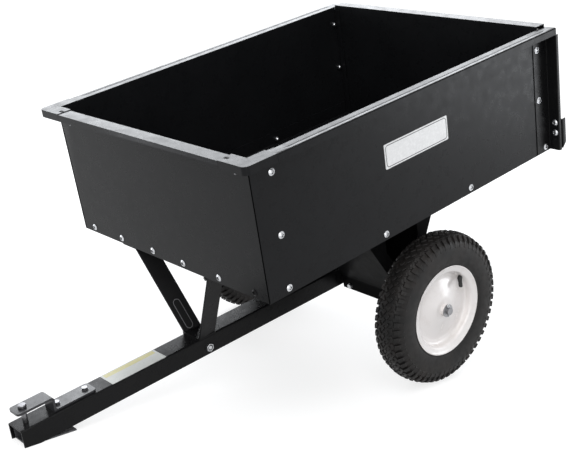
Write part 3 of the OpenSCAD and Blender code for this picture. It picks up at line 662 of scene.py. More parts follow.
def aimed(origin: Vector, direction: Vector, roll: Vector) -> Matrix:
    """Gives the matrix that puts +Z along a direction at a place.

    Args:
        origin: the place.
        direction: where +Z goes.
        roll: a direction that +X leans towards.

    Returns:
        The matrix.
    """
    up = direction.normalized()
    across = (roll - up * roll.dot(up)).normalized()
    other = up.cross(across)
    return Matrix.Translation(origin) @ Matrix((across, other, up)).transposed().to_4x4()


def stamped(template: Mesh, places: Iterable[Matrix]) -> Mesh:
    """Copies a shape to several places in one mesh.

    Args:
        template: the shape, which is freed.
        places: a matrix for each copy.

    Returns:
        The mesh with all the copies.
    """
    mesh = bpy.data.meshes.new("template")
    template.to_mesh(mesh)
    template.free()
    bm = bmesh.new()
    for matrix in places:
        start = len(bm.verts)
        bm.from_mesh(mesh)
        bm.verts.ensure_lookup_table()
        bmesh.ops.transform(bm, matrix=matrix, verts=bm.verts[start:])
    bpy.data.meshes.remove(mesh)
    return bm


def joined(parts: Iterable[Mesh]) -> Mesh:
    """Puts several meshes in one, and frees them.

    Args:
        parts: the meshes.

    Returns:
        The mesh with all of them.
    """
    bm = bmesh.new()
    for part in parts:
        mesh = bpy.data.meshes.new("part")
        part.to_mesh(mesh)
        part.free()
        bm.from_mesh(mesh)
        bpy.data.meshes.remove(mesh)
    return bm


@dataclass(frozen=True)
class Seat:
    """Where one bolt or nut of the CAD model sits."""

    place: Vector
    direction: Vector
    length: float
    width: float


def seats(node: str, held: Matrix) -> list[Seat]:
    """Finds the seat of every bolt or nut in a CAD node.

    Args:
        node: the CAD node, whose solids are bolts or nuts.
        held: the matrix of the frame that the bolts are square to.

    Returns:
        A seat for each solid: under the head for a bolt, the lower end for a nut.
    """
    bm = merged(node)
    move(bm, held.inverted())
    waiting = set(bm.verts)
    found: list[Seat] = []
    while waiting:
        stack = [waiting.pop()]
        group: list[Vector] = []
        while stack:
            vert = stack.pop()
            group.append(vert.co.copy())
            for edge in vert.link_edges:
                other = edge.other_vert(vert)
                if other in waiting:
                    waiting.remove(other)
                    stack.append(other)
        low, high = (Vector(end(p[i] for p in group) for i in range(3)) for end in (min, max))
        size = high - low
        middle = sorted(size)[1]
        axis = max(range(3), key=lambda i: abs(size[i] - middle))
        centre = (low + high) / 2
        away = [Vector([0.0 if i == axis else p[i] - centre[i] for i in range(3)]).length for p in group]
        rim = [p[axis] for p, far in zip(group, away) if far > RIM_SHARE * max(away)]
        upward = sum(rim) / len(rim) > centre[axis] - WELD
        seat = centre.copy()
        seat[axis] = min(rim) if upward else max(rim)
        along = Vector([(1.0 if upward else -1.0) if i == axis else 0.0 for i in range(3)])
        tail = seat[axis] - low[axis] if upward else high[axis] - seat[axis]
        found.append(Seat(held @ seat, held.to_3x3() @ along, tail, 2 * max(away)))
    bm.free()
    return sorted(found, key=lambda s: (round(s.place.x, 4), round(s.place.y, 4), round(s.place.z, 4)))


# Fasteners


@dataclass
class Bolt:
    """A bolt with a domed or a six-sided head, and rolled rings for its thread.

    The dome's radius and the recess's are shares of the head's; the recess is painted dark as painted shade.
    """

    shank: float
    head: float
    head_h: float
    domed: bool = True
    thread: float = 0.007
    pitch: float = 0.00125
    thread_deep: float = 0.00055
    lead: float = 0.0007
    dome: float = 1.24
    recess: float = 0.45

    def shank_profile(self, length: float) -> list[tuple[float, float]]:
        """Draws the shank from its end up to the seat.

        Args:
            length: length under the head.

        Returns:
            Radius and height of each point.
        """
        level = self.lead - length
        points = [(0.0, -length), (self.shank - 0.0008, -length), (self.shank - 0.0001, level)]
        for _ in range(int(min(self.thread, length * 0.5) / self.pitch)):
            points.append((self.shank - self.thread_deep, level + self.pitch * 0.5))
            level += self.pitch
            points.append((self.shank, level))
        return points + [(self.shank, 0.0)]

    def build(self, length: float) -> Mesh:
        """Builds the bolt along +Z with its seat at zero.

        Args:
            length: length under the head.

        Returns:
            The bolt's mesh.
        """
        r = self.head
        if self.domed:
            top = [(r - 0.0002, 0.0), (r, 0.0004), (r, 0.0010), (r - 0.0005, 0.0014)]
            curve = r * self.dome
            centre = self.head_h - curve
            for share in (0.88, 0.74, 0.62, 0.52):
                x = r * share
                top.append((x, centre + math.sqrt(curve * curve - x * x)))
            level = top[-1][1]
            top += [(r * 0.47, level - 0.0003), (r * 0.38, level - 0.0024), (0.0, level - 0.0030)]
            bm = turned(self.shank_profile(length) + top, 28)
            for face in bm.faces:
                # Faces inside the recess take the dark zinc: painted shade.
                spot = face.calc_center_median()
                if spot.z > 0.001 and math.hypot(spot.x, spot.y) < r * self.recess:
                    face.material_index = 1
            return bm
        shank = turned(self.shank_profile(length) + [(0.0, 0.0)], 24)
        return joined([shank, hexagon(self.head, self.head_h)])


def hexagon(corner: float, height: float) -> Mesh:
    """Builds a six-sided head with cut corners and a thin round face under it.

    Args:
        corner: radius over the corners.
        height: height of the head.

    Returns:
        The head, standing on zero.
    """
    bm = bmesh.new()
    bmesh.ops.create_cone(bm, cap_ends=True, segments=6, radius1=corner, radius2=corner, depth=height)
    bmesh.ops.translate(bm, verts=bm.verts, vec=(0, 0, height / 2))
    bevel(bm, [e for e in bm.edges if all(v.co.z > height / 2 for v in e.verts)], corner * 0.12, 2)
    bevel(bm, [e for e in bm.edges if abs(e.verts[0].co.z - e.verts[1].co.z) > height * 0.4], corner * 0.03, 1)
    face = [(0.0, 0.0), (corner * 0.98, 0.0), (corner * 0.98, 0.0004), (0.0, 0.0006)]
    return joined([bm, turned(face, 24)])


@dataclass
class Fasteners:
    """All the bolts and nuts that stand still, each on the seat that the CAD model gives it."""

    tray_bolt: Bolt = field(default_factory=lambda: Bolt(0.004, 0.0085, 0.0045))
    frame_bolt: Bolt = field(default_factory=lambda: Bolt(0.005, 0.0105, 0.0045, pitch=0.0015))
    beam_bolt: Bolt = field(default_factory=lambda: Bolt(0.004, 0.0075, 0.0053, domed=False))
    hitch_bolt: Bolt = field(default_factory=lambda: Bolt(0.005, 0.0084, 0.0060, domed=False, pitch=0.0015))
    black_bolt: tuple[float, float, float] = (0.330, -0.532, 0.275)
    near: float = 0.035
    broad: float = 0.018
    flat: float = 0.004
    nut_break: float = 0.0006

    def bolts(self, node: str, held: Matrix, body: Body, kind: Callable[[Seat], Bolt],
              finish: Finish = ZINC, black: Optional[Vector] = None) -> Piece:
        """Builds one bolt on each seat of a node.

        Args:
            node: the CAD node that the piece replaces.
            held: the frame that the bolts are square to.
            body: the body that carries it.
            kind: gives the kind of bolt for a seat.
            finish: the bolts' plating.
            black: place near the one bolt that is drawn in the frame's dark paint instead of zinc, if any.

        Returns:
            The piece.
        """
        parts = []
        for seat in seats(node, held):
            part = kind(seat).build(seat.length)
            move(part, aimed(seat.place, seat.direction, ROLL))
            # The bolt nearest that place takes the frame's dark paint.
            if black is not None and (seat.place - black).length < self.near:
                for face in part.faces:
                    face.material_index = 2
            parts.append(part)
        return place(joined(parts), node + "_zinc", body, [finish, RECESS_PAINTED_SHADE, FRAME_PAINT], [node])

    def nuts(self, node: str, body: Body) -> Piece:
        """Breaks the corners and edges of a node's nuts.

        Args:
            node: the CAD node that the piece replaces.
            body: the body that carries it.

        Returns:
            The piece.
        """
        bm = merged(node)
        join_flats(bm)
        bevel(bm, [e for e in bm.edges if len(e.link_faces) == 2 and e.is_convex and e.calc_length() > self.flat],
              self.nut_break, 2)
        return place(bm, node + "_zinc", body, [ZINC], [node])

    def build(self) -> None:
        """Builds all the bolts and nuts."""
        self.bolts("tray_bolts", TRAY, Body.TRAY, lambda seat: self.tray_bolt, black=TRAY @ Vector(self.black_bolt))
        self.bolts("frame_bolts", TRAY, Body.TRAY,
                   lambda seat: self.frame_bolt if seat.width > self.broad else self.beam_bolt)
        self.bolts("hitch_bolts", TONGUE, Body.TONGUE, lambda seat: self.hitch_bolt, DULL_ZINC)
        for node, body in (("tray_nuts", Body.TRAY), ("frame_nuts", Body.TRAY), ("hitch_nuts", Body.TONGUE)):
            self.nuts(node, body)


# Sheet parts


@dataclass
class SheetPart:
    """One bent and cut sheet part: a CAD node with bend radii and broken edges."""

    node: str
    body: Body
    finish: Finish
    fold: float = 0.0030
    inner: float = 0.0010
    cut: float = 0.00035

    def press(self, bm: Mesh) -> None:
        """Presses further shape into the part; a plain part has none."""

    def build(self) -> Piece:
        """Rounds the node's edges and hangs the result on its body."""
        bm = merged(self.node)
        round_edges(bm, self.fold, self.inner, self.cut)
        self.press(bm)
        # Material index 1 is the dark paint for sunk places: painted shade.
        return place(bm, self.node + "_bent", self.body, [self.finish, GAP_PAINTED_SHADE], [self.node])


@dataclass
class SidePanel(SheetPart):
    """A side panel whose turned-out rim has a bead rolled along it."""

    bead_in: float = 0.0135
    bead_half: float = 0.0028
    bead_deep: float = 0.0016
    bead_end: float = 0.030
    bead_run: float = 0.012

    def press(self, bm: Mesh) -> None:
        """Rolls the bead into the rim's top."""
        move(bm, TRAY.inverted())
        level = max(v.co.z for v in bm.verts)
        far = max(bm.verts, key=lambda v: abs(v.co.x)).co.x
        line = far - math.copysign(self.bead_in, far)
        rim = [v.co.y for v in bm.verts if v.co.z > level - 0.0001]
        first, last = min(rim) + self.bead_end, max(rim) - self.bead_end
        ends = [(1, y) for y in (first, first + self.bead_run, last - self.bead_run, last)]
        scribe(bm, ends + [(0, line + shift) for shift in (-self.bead_half, 0.0, self.bead_half)], level)
        low = [v for v in bm.verts if abs(v.co.x - line) < 1e-5 and v.co.z > level - 0.0001
               and first + 0.9 * self.bead_run < v.co.y < last - 0.9 * self.bead_run]
        bmesh.ops.translate(bm, verts=low, vec=(0, 0, -self.bead_deep))
        move(bm, TRAY)


@dataclass
class CornerPiece(SheetPart):
    """A rim corner with a shallow slot near the end of its front arm, the slot painted dark as painted shade."""

    slot_x: float = 0.3285
    slot_y: float = -0.548
    slot_long: float = 0.0150
    slot_wide: float = 0.0090
    slot_deep: float = 0.0014
    slot_slope: float = 0.0003

    def press(self, bm: Mesh) -> None:
        """Cuts the slot and paints its floor and walls dark: painted shade."""
        move(bm, TRAY.inverted())
        level = max(v.co.z for v in bm.verts)
        far = max(bm.verts, key=lambda v: abs(v.co.x)).co.x
        middle = Vector((math.copysign(self.slot_x, far), self.slot_y, level))
        sides = ((0, self.slot_long / 2), (1, self.slot_wide / 2))
        scribe(bm, [(axis, middle[axis] + side) for axis, half in sides for side in (-half, half)], level)
        face = min(bm.faces, key=lambda f: (f.calc_center_median() - middle).length)
        # The slot's floor and its sunk walls take the dark paint: painted shade.
        face.material_index = 1
        inset(bm, face, self.slot_slope, -self.slot_deep, 1)
        move(bm, TRAY)


@dataclass
class Tray:
    """The tray's panels, its rim corners and the blank plate on its right side."""

    plate_rear: float = 0.082
    plate_front: float = -0.139
    plate_low: float = 0.433
    plate_high: float = 0.494
    plate_x: float = 0.375
    plate_t: float = 0.0012
    plate_r: float = 0.0030
    border_in: float = 0.0034
    border_r: float = 0.0085
    border_w: float = 0.0019
    border_t: float = 0.0002
    seam_x: float = 0.3733
    seam_y: float = -0.5322
    seam_low: float = 0.263
    seam_high: float = 0.598
    seam_w: float = 0.0036
    seam_t: float = 0.0004

    def panels(self) -> None:
        """Builds the bent panels."""
        SheetPart("floor_panel", Body.TRAY, PANEL_PAINT).build()
        SheetPart("front_panel", Body.TRAY, PANEL_PAINT, fold=0.0060, inner=0.0038).build()
        for side in Side:
            SidePanel(f"side_panel_{side.word}", Body.TRAY, PANEL_PAINT).build()
            CornerPiece(f"corner_{side.word}", Body.TRAY, PANEL_PAINT, fold=0.0022, inner=0.0008).build()

    def plate(self) -> Piece:
        """Builds the blank plate: a white rounded sheet with a dark line set in from its edge.

        Returns:
            The plate.
        """
        length = self.plate_rear - self.plate_front
        height = self.plate_high - self.plate_low
        bm = slab(length, height, self.plate_t, self.plate_r)
        line = slab(length - 2 * self.border_in, height - 2 * self.border_in, self.border_t, self.border_r)
        bmesh.ops.translate(line, verts=line.verts, vec=(self.plate_t / 2 + self.border_t / 4, 0, 0))
        front = max(line.faces, key=lambda f: f.calc_center_median().x)
        back = min(line.faces, key=lambda f: f.calc_center_median().x)
        inset(line, front, self.border_w)
        bmesh.ops.delete(line, geom=[front, back], context="FACES_ONLY")
        for band in line.faces:
            band.material_index = 1
        bm = joined([bm, line])
        at = Vector((self.plate_x + self.plate_t / 2, (self.plate_rear + self.plate_front) / 2,
                     (self.plate_high + self.plate_low) / 2))
        move(bm, TRAY @ Matrix.Translation(at))
        return place(bm, "side_plate_blank", Body.TRAY, [PLATE_WHITE, PLATE_LINE])

    def seams(self) -> Piece:
        """Builds thin near-black strips in the gaps where the front panel's edges meet the sides: painted shade.

        Returns:
            The seams.
        """
        parts = []
        for side in Side:
            bm = box(self.seam_w, self.seam_t, self.seam_high - self.seam_low)
            at = Vector((side.sign * self.seam_x, self.seam_y, (self.seam_low + self.seam_high) / 2))
            # Each strip is a thin near-black sheet in the corner gap: painted shade.
            move(bm, TRAY @ Matrix.Translation(at))
            parts.append(bm)
        return place(joined(parts), "corner_seams", Body.TRAY, [SEAM_PAINTED_SHADE])

    def build(self) -> None:
        """Builds the tray."""
        self.panels()
        self.seams()
        self.plate()


@dataclass
class Gate:
    """The lift-out tailgate with the guides, channels and brackets that hold it."""

    fold: float = 0.0030

    def build(self) -> None:
        """Builds the gate and its holders."""
        SheetPart("tailgate", Body.TAILGATE, PANEL_PAINT, self.fold).build()
        for side in Side:
            for kind, finish in (("guide", PANEL_PAINT), ("channel", FRAME_PAINT), ("bracket", FRAME_PAINT)):
                SheetPart(f"gate_{kind}_{side.word}", Body.TRAY, finish, self.fold).build()


@dataclass
class Undercarriage:
    """The stand, its beams, the legs and their foot."""

    stand_fold: float = 0.0090
    beam_fold: float = 0.0030
    leg_fold: float = 0.0016
    leg_foot: tuple[float, float, float] = (0.0280, -0.4858, 0.0456)
    leg_lean: float = 0.54
    leg_rake: float = 4.9
    rib_low: float = 0.002
    rib_high: float = 0.088
    rib_wide: float = 0.024
    rib_highlight_band: float = 0.0018
    rib_proud: float = 0.0026
    rib_shift: float = -0.004

    def rib(self, side: Side) -> Piece:
        """Builds the long boss pressed out of a leg's inner face, with a light grey band round its top face as a
        painted highlight.

        Args:
            side: the leg's side.

        Returns:
            The boss.
        """
        bm = slab(self.rib_high - self.rib_low, self.rib_wide, 2 * self.rib_proud, self.rib_wide * 0.49,
                  self.rib_proud * 0.5)
        # The band round the boss's top face takes the light grey paint: painted highlight.
        inset(bm, outermost(bm), self.rib_highlight_band, index=1)
        along = Vector((self.leg_lean, 0.0, 1.0)).normalized()
        out = Vector((-1.0, 0.0, self.leg_lean)).normalized()
        aim = Matrix((out, along, out.cross(along))).transposed().to_4x4()
        middle = along * (self.rib_high + self.rib_low) / 2 + Vector((0, self.rib_shift, 0))
        move(bm, TRAY @ side.mirror @ Matrix.Translation(self.leg_foot)
             @ turn(self.leg_rake) @ Matrix.Translation(middle) @ aim)
        bmesh.ops.recalc_face_normals(bm, faces=bm.faces)
        return place(bm, f"leg_rib_{side.word}", Body.TRAY, [LEG_PAINT, RIB_PAINTED_HIGHLIGHT])

    def build(self) -> None:
        """Builds the sheet parts, and finishes the axle and its sleeves."""
        for node in ("stand_front", "stand_rear"):
            SheetPart(node, Body.TRAY, STAND_PAINT, self.stand_fold, 0.0060).build()
        for side in Side:
            SheetPart(f"axle_beam_{side.word}", Body.TRAY, STAND_PAINT, self.beam_fold).build()
            SheetPart(f"axle_bracket_{side.word}", Body.TRAY, FRAME_PAINT, 0.0, 0.0, 0.0006).build()
            SheetPart(f"leg_{side.word}", Body.TRAY, LEG_PAINT, self.leg_fold, 0.0016, 0.0005).build()
            self.rib(side)
        SheetPart("leg_foot", Body.TRAY, FRAME_PAINT, self.leg_fold, 0.0016, 0.0005).build()
        for node, finish in (("axle", AXLE_STEEL), ("axle_sleeves", FRAME_PAINT), ("wheel_spacers", FRAME_PAINT),
                             ("wheel_washers", WASHER_ZINC), ("cotter_pins", ZINC)):
            repaint(node, finish)


@dataclass
class Latch:
    """The latch lever on the tongue's left side, with its grip."""

    def build(self) -> None:
        """Builds the lever and the grip."""
        SheetPart("latch_lever", Body.LATCH, HITCH_PAINT, 0.0, 0.0, 0.0006).build()
        SheetPart("latch_grip", Body.LATCH, GRIP_VINYL, 0.0022, 0.0, 0.0008).build()
        repaint("latch_pivot", ZINC)


@dataclass
class Tongue:
    """The channel tongue with its pivot sleeve, its blank label, the catch bolt and the skid."""

    label_front: float = -0.770
    label_rear: float = -0.612
    label_half: float = 0.0285
    label_z: float = 0.026
    label_t: float = 0.0003
    label_r: float = 0.0020
    band_far: float = 0.003
    band_near: float = 0.019
    band_end: float = 0.006
    # Each ring: band width, depth and material index; index 1 paints the sunk ring and the band inside it dark, as
    # painted shade.
    rings: tuple[tuple[float, float, int], ...] = ((0.0016, 0.0, 0), (0.0004, -0.0012, 1), (0.0022, 0.0, 1),
                                                   (0.0004, 0.0014, 0))

    def label(self) -> Piece:
        """Builds the blank label: pale film with a plain band along its far side.

        Returns:
            The label.
        """
        length = self.label_rear - self.label_front
        bm = box(2 * self.label_half, length, self.label_t)
        upright = [e for e in bm.edges if abs(e.verts[0].co.z - e.verts[1].co.z) > self.label_t * 0.5]
        bevel(bm, upright, self.label_r, 4)
        low, high = self.band_far - self.label_half, self.band_near - self.label_half
        end = length / 2 - self.band_end
        for axis, line in ((0, high), (0, low), (1, -end), (1, end)):
            cut_plane(bm, bm.verts[:] + bm.edges[:] + bm.faces[:], axis, line)
        for face in bm.faces:
            centre = face.calc_center_median()
            if face.normal.z > 0.9 and low < centre.x < high and abs(centre.y) < end:
                face.material_index = 1
        at = Vector((0.0, (self.label_rear + self.label_front) / 2, self.label_z + self.label_t / 2))
        move(bm, TONGUE @ Matrix.Translation(at))
        return place(bm, "tongue_label_blank", Body.TONGUE, [LABEL_GREY, LABEL_YELLOW])

    def catch(self) -> Piece:
        """Builds the catch bolt, with a sunk ring painted dark as painted shade and a raised middle in its right head.

        Returns:
            The bolt.
        """
        bm = merged("catch_bolt")
        round_edges(bm, 0.0, 0.0, 0.0005)
        head = outermost(bm)
        for thickness, depth, index in self.rings:
            inset(bm, head, thickness, depth, index)
        return place(bm, "catch_bolt_zinc", Body.TONGUE, [ZINC, RECESS_PAINTED_SHADE], ["catch_bolt"])

    def build(self) -> None:
        """Builds the tongue."""
        SheetPart("tongue", Body.TONGUE, FRAME_PAINT, 0.0048, 0.0020, 0.0005).build()
        # The skid's mid grey is painted sheen; its specks are dust.
        SheetPart("skid", Body.TONGUE, SKID_PAINTED_SHEEN, 0.0, 0.0, 0.0006).build()
        repaint("pivot_sleeve", FRAME_PAINT)
        self.label()
        self.catch()


@dataclass
class Hitch:
    """The bent hitch plate and its drop pin."""

    pin_y: float = -0.988
    pin_r: float = 0.0065
    pin_low: float = -0.001
    tab_top: float = 0.065
    head_gap: float = 0.0003
    head_h: float = 0.007

    def pin(self) -> Piece:
        """Builds the pin with its broad head and tapered end.

        Returns:
            The pin.
        """
        seat = self.tab_top + self.head_gap
        r = self.pin_r
        profile = [(0.0, self.pin_low), (r - 0.0028, self.pin_low), (r, self.pin_low + 0.004), (r, seat),
                   (r + 0.0035, seat), (r + 0.0035, seat + self.head_h), (0.0, seat + self.head_h)]
        bm = turned(profile, 40, rounding={5: 0.0016, 4: 0.0005, 2: 0.0012})
        move(bm, TONGUE @ Matrix.Translation((0, self.pin_y, 0)))
        return place(bm, "hitch_pin_turned", Body.PIN, [PIN_STEEL], ["hitch_pin"])

    def build(self) -> None:
        """Builds the hitch."""
        SheetPart("hitch_plate", Body.TONGUE, HITCH_PAINT, 0.0066, 0.0030, 0.0008).build()
        self.pin()


# Wheels


@dataclass(frozen=True)
class TreadRow:
    """A row of equal tread blocks: its place under the tread's top, its angles in degrees and its block's size."""

    across: float
    drop: float
    tilt: float
    lean: float
    size: tuple[float, float, float]
    start: float


TREAD = (TreadRow(0.0, 0.0060, 32, 0, (0.0058, 0.0150, 0.0072), 0.0),
         TreadRow(0.0112, 0.0070, -34, 8, (0.0058, 0.0150, 0.0070), 0.5),
         TreadRow(0.0222, 0.0102, 28, 24, (0.0058, 0.0150, 0.0076), 0.0))
SHOULDER = (TreadRow(0.0295, 0.0165, 0, 52, (0.0078, 0.0128, 0.0150), 0.25),
            TreadRow(0.0364, 0.0265, 0, 76, (0.0036, 0.0086, 0.0200), 0.25))


@dataclass
class Wheel:
    """A pressed steel wheel with a pneumatic tyre; lengths are from its middle plane, outwards."""

    side: Side
    middle: float = 0.361
    lip: float = 0.1185
    edge: float = 0.038
    bead: float = 0.101
    hub: float = 0.016
    dish: float = 0.0115
    crown: float = 0.0030
    tyre_r: float = 0.200
    tyre_half: float = 0.042
    groove: float = 0.0042
    air_down: float = 0.0475
    air_r: float = 0.0318
    lugs: int = 58
    valve_out: float = 0.022
    valve_turn: float = -40.0
    valve_lean: float = 143.0
    block_taper: float = 0.86
    block_break: float = 0.0008

    @property
    def matrix(self) -> Matrix:
        """Puts a shape turned about +Z, outwards up, on this side of the axle."""
        flat = Matrix(((0, 0, 1, 0), (0, 1, 0, 0), (-1, 0, 0, 0), (0, 0, 0, 1)))
        return Matrix.Translation(AXLE) @ self.side.mirror @ Matrix.Translation((self.middle, 0, 0)) @ flat

    def settle(self, bm: Mesh, name: str, finish: Finish, nodes: Sequence[str]) -> Piece:
        """Puts a wheel shape in its place on the axle.

        Args:
            bm: the shape, turned about +Z.
            name: the piece's name without the side.
            finish: its finish.
            nodes: names of the nodes that it replaces, without the side.

        Returns:
            The piece.
        """
        move(bm, self.matrix)
        return place(bm, f"{name}_{self.side.word}", self.side.wheel, [finish],
                     [f"{node}_{self.side.word}" for node in nodes])

    def rim(self) -> Piece:
        """Builds the rim: rolled lips, bead seats, a well and a dished disc with a raised ring.

        Returns:
            The rim.
        """
        lip, edge, bead, hub = self.lip, self.edge, self.bead, self.hub
        well = bead - 0.009
        disc = edge - 0.016
        wall = 0.0025
        half = [(lip, edge), (lip - 0.0015, edge - 0.003), (lip - 0.0085, edge - 0.0055),
                (bead + 0.0025, edge - 0.0075), (bead, edge - 0.011), (bead - 0.001, edge - 0.024),
                (well, edge - 0.027)]
        face = [(well - wall, edge - 0.025), (bead - 0.0035, edge - 0.022), (bead - 0.0025, edge - 0.0095),
                (bead + 0.001, edge - 0.005), (lip - 0.0095, edge - 0.003), (lip - 0.0035, edge - 0.0011),
                (lip - 0.0025, edge)]
        low, high = disc - self.dish, disc + self.crown
        disc_back = [(well - wall, disc - 0.014), (well - wall - 0.008, low), (hub + 0.016, high - 0.001),
                     (hub + 0.010, high), (hub, high)]
        disc_front = [(hub, high + wall), (hub + 0.011, high + wall), (hub + 0.017, high - 0.001 + wall),
                      (well - wall - 0.008, low + wall), (well - wall, low + wall + 0.001)]
        soft = {5: 0.002, 6: 0.003, 7: 0.003, 8: 0.002, 21: 0.003, 22: 0.005, 23: 0.004, 24: 0.003, 28: 0.003,
                29: 0.007, 30: 0.006, 31: 0.004, 32: 0.003, 33: 0.002, 34: 0.002, 35: 0.002}
        bm = turned(half + flipped(half) + flipped(face) + disc_back + disc_front + face, 112, closed=True,
                    rounding={i: soft[i] for i in sorted(soft, reverse=True)})
        return self.settle(bm, "rim_pressed", ENAMEL, ["rim"])

    def tyre(self) -> Piece:
        """Builds the tyre: a turned carcass with rows of small blocks and lugs on its shoulders.

        Returns:
            The tyre.
        """
        bead, edge, lip, top, half = self.bead, self.edge, self.lip, self.tyre_r, self.tyre_half
        low = top - self.groove
        right = [(bead + 0.0004, edge - 0.012), (bead + 0.0033, edge - 0.0076), (lip - 0.0085, edge - 0.0059),
                 (lip - 0.0015, edge - 0.0034), (lip + 0.0006, edge - 0.0015), (lip + 0.003, edge + 0.0006),
                 (lip + 0.0055, edge + 0.0001), (bead + 0.030, half - 0.0010), (bead + 0.048, half - 0.0003),
                 (bead + 0.064, half - 0.0010), (top - 0.026, half - 0.0028), (top - 0.0195, half - 0.0066),
                 (low - 0.0060, half - 0.0135), (low - 0.0018, half - 0.0215), (low, half - 0.034)]
        angles = [math.radians(-128 + 32 * step) for step in range(9)]
        inside = [(top - self.air_down + self.air_r * math.cos(a), self.air_r * math.sin(a)) for a in angles]
        inside = [(bead + 0.0004, 0.020 - edge), *inside, (bead + 0.0004, edge - 0.020)]
        parts = [turned(right + flipped(right) + inside, 144, closed=True)]
        parts += [self.ring(TREAD[abs(row)], 1 if row > 0 else -1) for row in (-2, -1, 0, 1, 2)]
        parts += [self.ring(row, sign) for sign in (-1, 1) for row in SHOULDER]
        return self.settle(joined(parts), "tyre_treaded", RUBBER, ["tyre"])

    def block(self, radial: float, along: float, across: float, base: Matrix) -> Mesh:
        """Builds one tread block with a tapered, softened top.

        Args:
            radial: height of the block.
            along: size round the tyre.
            across: size across the tyre.
            base: matrix that puts the block's foot, with +X outwards.

        Returns:
            The block.
        """
        bm = box(radial, along, across)
        bmesh.ops.translate(bm, verts=bm.verts, vec=(radial / 2, 0, 0))
        top = [v for v in bm.verts if v.co.x > radial / 2]
        bmesh.ops.scale(bm, vec=(1, self.block_taper, self.block_taper), verts=top)
        bmesh.ops.delete(bm, geom=[f for f in bm.faces if f.normal.x < -0.9], context="FACES_ONLY")
        bevel(bm, [e for e in bm.edges if all(v.co.x > radial / 2 for v in e.verts)], self.block_break, 1)
        move(bm, base)
        return bm

    def ring(self, row: TreadRow, sign: int) -> Mesh:
        """Builds one row of blocks round the tyre.

        Args:
            row: the kind of row.
            sign: 1 for the outer side, -1 for the inner.

        Returns:
            The row.
        """
        base = (Matrix.Translation((self.tyre_r - row.drop, 0, sign * row.across))
                @ turn(-sign * row.lean, "Y") @ turn(sign * row.tilt))
        step = 360.0 / self.lugs
        return stamped(self.block(*row.size, base), [turn((i + row.start) * step, "Z") for i in range(self.lugs)])

    def valve(self) -> Piece:
        """Builds the rubber valve stem with its cap, leaning in from the well.

        Returns:
            The valve.
        """
        seat = self.bead - 0.0039
        stem = [(0.0, -0.0030), (0.0052, -0.0030), (0.0056, 0.0), (0.0066, 0.0008), (0.0060, 0.004), (0.0053, 0.010),
                (0.0048, 0.017), (0.0040, 0.0172), (0.0040, 0.0180), (0.0052, 0.0182), (0.0052, 0.0258),
                (0.0044, 0.0270), (0.0, 0.0270)]
        tilt = turned(stem, VALVE_STEPS)
        move(tilt, Matrix.Translation((0, 0, seat - 0.004)) @ turn(self.valve_lean, "Y"))
        collar = turned([(0.0, -0.0062), (0.0036, -0.0060), (0.0055, -0.0040), (0.0055, -0.0004), (0.0048, 0.0),
                         (0.0032, 0.0), (0.0032, 0.0048), (0.0, 0.0048)], VALVE_STEPS)
        bmesh.ops.translate(collar, verts=collar.verts, vec=(0, 0, seat))
        bm = joined([tilt, collar])
        move(bm, Matrix.Translation(AXLE) @ self.side.mirror @ turn(self.valve_turn)
             @ Matrix.Translation((self.middle + self.valve_out, 0, 0)))
        return place(bm, f"valve_stem_{self.side.word}", self.side.wheel, [TUBE_RUBBER], [f"valve_{self.side.word}"])

    def build(self) -> None:
        """Builds the wheel."""
        self.rim()
        self.tyre()
        self.valve()
        SheetPart(f"hub_{self.side.word}", self.side.wheel, ENAMEL, 0.0, 0.0, 0.0).build()
        repaint(f"inner_tube_{self.side.word}", TUBE_RUBBER)
        repaint(f"bushings_{self.side.word}", BUSH_PLASTIC)


# Studio


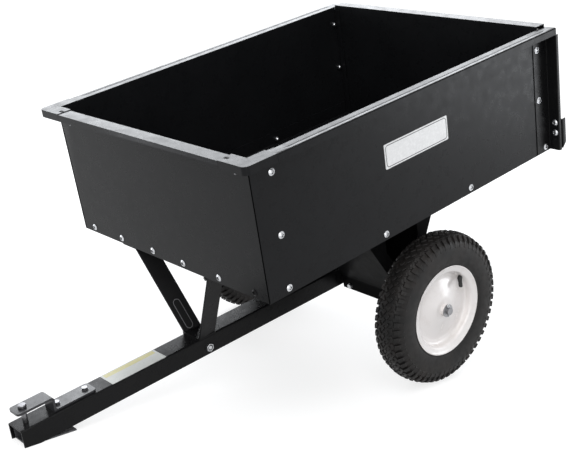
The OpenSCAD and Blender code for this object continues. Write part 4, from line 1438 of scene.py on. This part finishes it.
@dataclass
class Studio:
    """The camera at the photograph's angle, soft lamps, a pale floor and a white surround."""

    eye: tuple[float, float, float] = (2.03396, -2.00609, 1.01646)
    aim: tuple[float, float, float] = (0.0, -0.2018, 0.1679)
    settle: float = 1.38
    lens: float = 68.72
    heart: tuple[float, float, float] = (0.0, 0.05, 0.35)
    floor_half: float = 30.0
    floor_near: float = 0.75
    floor_grey: tuple[float, float, float, float] = (0.34, 0.34, 0.34, 1.0)
    glow_start: float = 0.9
    glow_stop: float = 4.0
    sky: tuple[float, float, float, float] = (0.95, 0.97, 1.0, 1.0)
    sky_level: float = 0.45
    boxes: tuple[tuple, ...] = (
        ("box_behind", (-0.70, 0.46, 0.55), 3.4, (3.4, 1.9), 5.3, COOL),
        ("box_above", (0.35, -0.45, 1.0), 3.2, (2.2, 2.2), 3.6),
        ("box_rear_right", (0.70, 0.85, 0.10), 3.6, (1.3, 1.1), 5.6, COOL),
        ("box_front_left", (-0.95, -0.62, 0.12), 3.4, (1.4, 1.2), 4.2, COOL),
        ("box_right", (0.95, -0.75, 0.35), 3.2, (2.4, 2.4), 2.3))

    def camera(self) -> None:
        """Makes the camera."""
        tilt = Matrix.Translation(AXLE) @ turn(self.settle)
        eye = tilt @ Vector(self.eye)
        aim = tilt @ Vector(self.aim)
        up = tilt.to_3x3() @ Vector((0, 0, 1))
        back = (eye - aim).normalized()
        across = up.cross(back).normalized()
        above = back.cross(across)
        data = bpy.data.cameras.new("photo_camera")
        data.lens = self.lens
        data.sensor_width = 36.0
        data.sensor_fit = "HORIZONTAL"
        data.clip_start, data.clip_end = 0.05, 60.0
        camera = hang("photo_camera", data)
        camera.matrix_world = Matrix.Translation(eye) @ Matrix((across, above, back)).transposed().to_4x4()
        bpy.context.scene.camera = camera

    def lamp(self, name: str, direction: Sequence[float], distance: float, size: tuple[float, float],
             radiance: float, tint: Sequence[float] = (1.0, 1.0, 1.0)) -> None:
        """Hangs one soft box round the cart.

        Args:
            name: the lamp's name.
            direction: where it hangs, seen from the cart.
            distance: how far away.
            size: width and height of its face.
            radiance: brightness of its face, where 1 is white.
            tint: its colour.
        """
        data = bpy.data.lights.new(name, "AREA")
        data.shape = "RECTANGLE"
        data.size, data.size_y = size
        data.energy = radiance * math.pi * size[0] * size[1]
        data.color = tint
        lamp = hang(name, data)
        away = Vector(direction).normalized()
        lamp.location = Vector(self.heart) + away * distance
        lamp.rotation_mode = "QUATERNION"
        lamp.rotation_quaternion = away.to_track_quat("Z", "Y")

    def lamps(self) -> None:
        """Hangs the lamps."""
        for box_light in self.boxes:
            self.lamp(*box_light)

    def floor(self) -> None:
        """Lays the floor, which glows only where it is seen, and less near the cart so that its shadow shows."""
        bm = bmesh.new()
        bmesh.ops.create_grid(bm, x_segments=1, y_segments=1, size=self.floor_half)
        mesh = bpy.data.meshes.new("studio_floor")
        bm.to_mesh(mesh)
        bm.free()
        floor = hang("studio_floor", mesh)
        shader = Shader("floor_white")
        far = shader.node("VectorMath")
        far.operation = "LENGTH"
        shader.feed(far.inputs[0], shader.place)
        glow = shader.spread(far.outputs["Value"], self.floor_near, 1.0, self.glow_start, self.glow_stop)
        shader.dress(Base_Color=self.floor_grey, Roughness=0.85, Specular_IOR_Level=0.2, Emission_Color=WHITE,
                     Emission_Strength=shader.worked("MULTIPLY", shader.seen(), glow))
        mesh.materials.append(shader.material)

    def surround(self) -> None:
        """Makes the world: soft light on the cart, plain white where it is seen directly or in a gloss."""
        world = bpy.data.worlds.new("studio_surround")
        bpy.context.scene.world = world
        world.use_nodes = True
        nodes = Nodes(world.node_tree)
        mix = nodes.node("MixShader", Fac=nodes.seen())
        nodes.feed(mix.inputs[1], nodes.node("Background", Color=self.sky, Strength=self.sky_level).outputs[0])
        nodes.feed(mix.inputs[2], nodes.node("Background", Color=WHITE, Strength=1.0).outputs[0])
        nodes.node("OutputWorld", Surface=mix.outputs[0])

    def build(self) -> None:
        """Builds the studio."""
        self.camera()
        self.lamps()
        self.floor()
        self.surround()
        bpy.context.scene.view_settings.view_transform = "Standard"


def main() -> None:
    """Builds the cart's pieces in order, then the studio."""
    logging.basicConfig(level=logging.INFO, format="%(name)s: %(message)s")
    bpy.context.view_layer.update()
    builders = [Tray(), Gate(), Undercarriage(), Latch(), Tongue(), Hitch(), Fasteners(),
                Wheel(Side.LEFT), Wheel(Side.RIGHT), Studio()]
    for builder in builders:
        LOG.info("building %s", type(builder).__name__)
        builder.build()


if __name__ == "__main__":
    main()
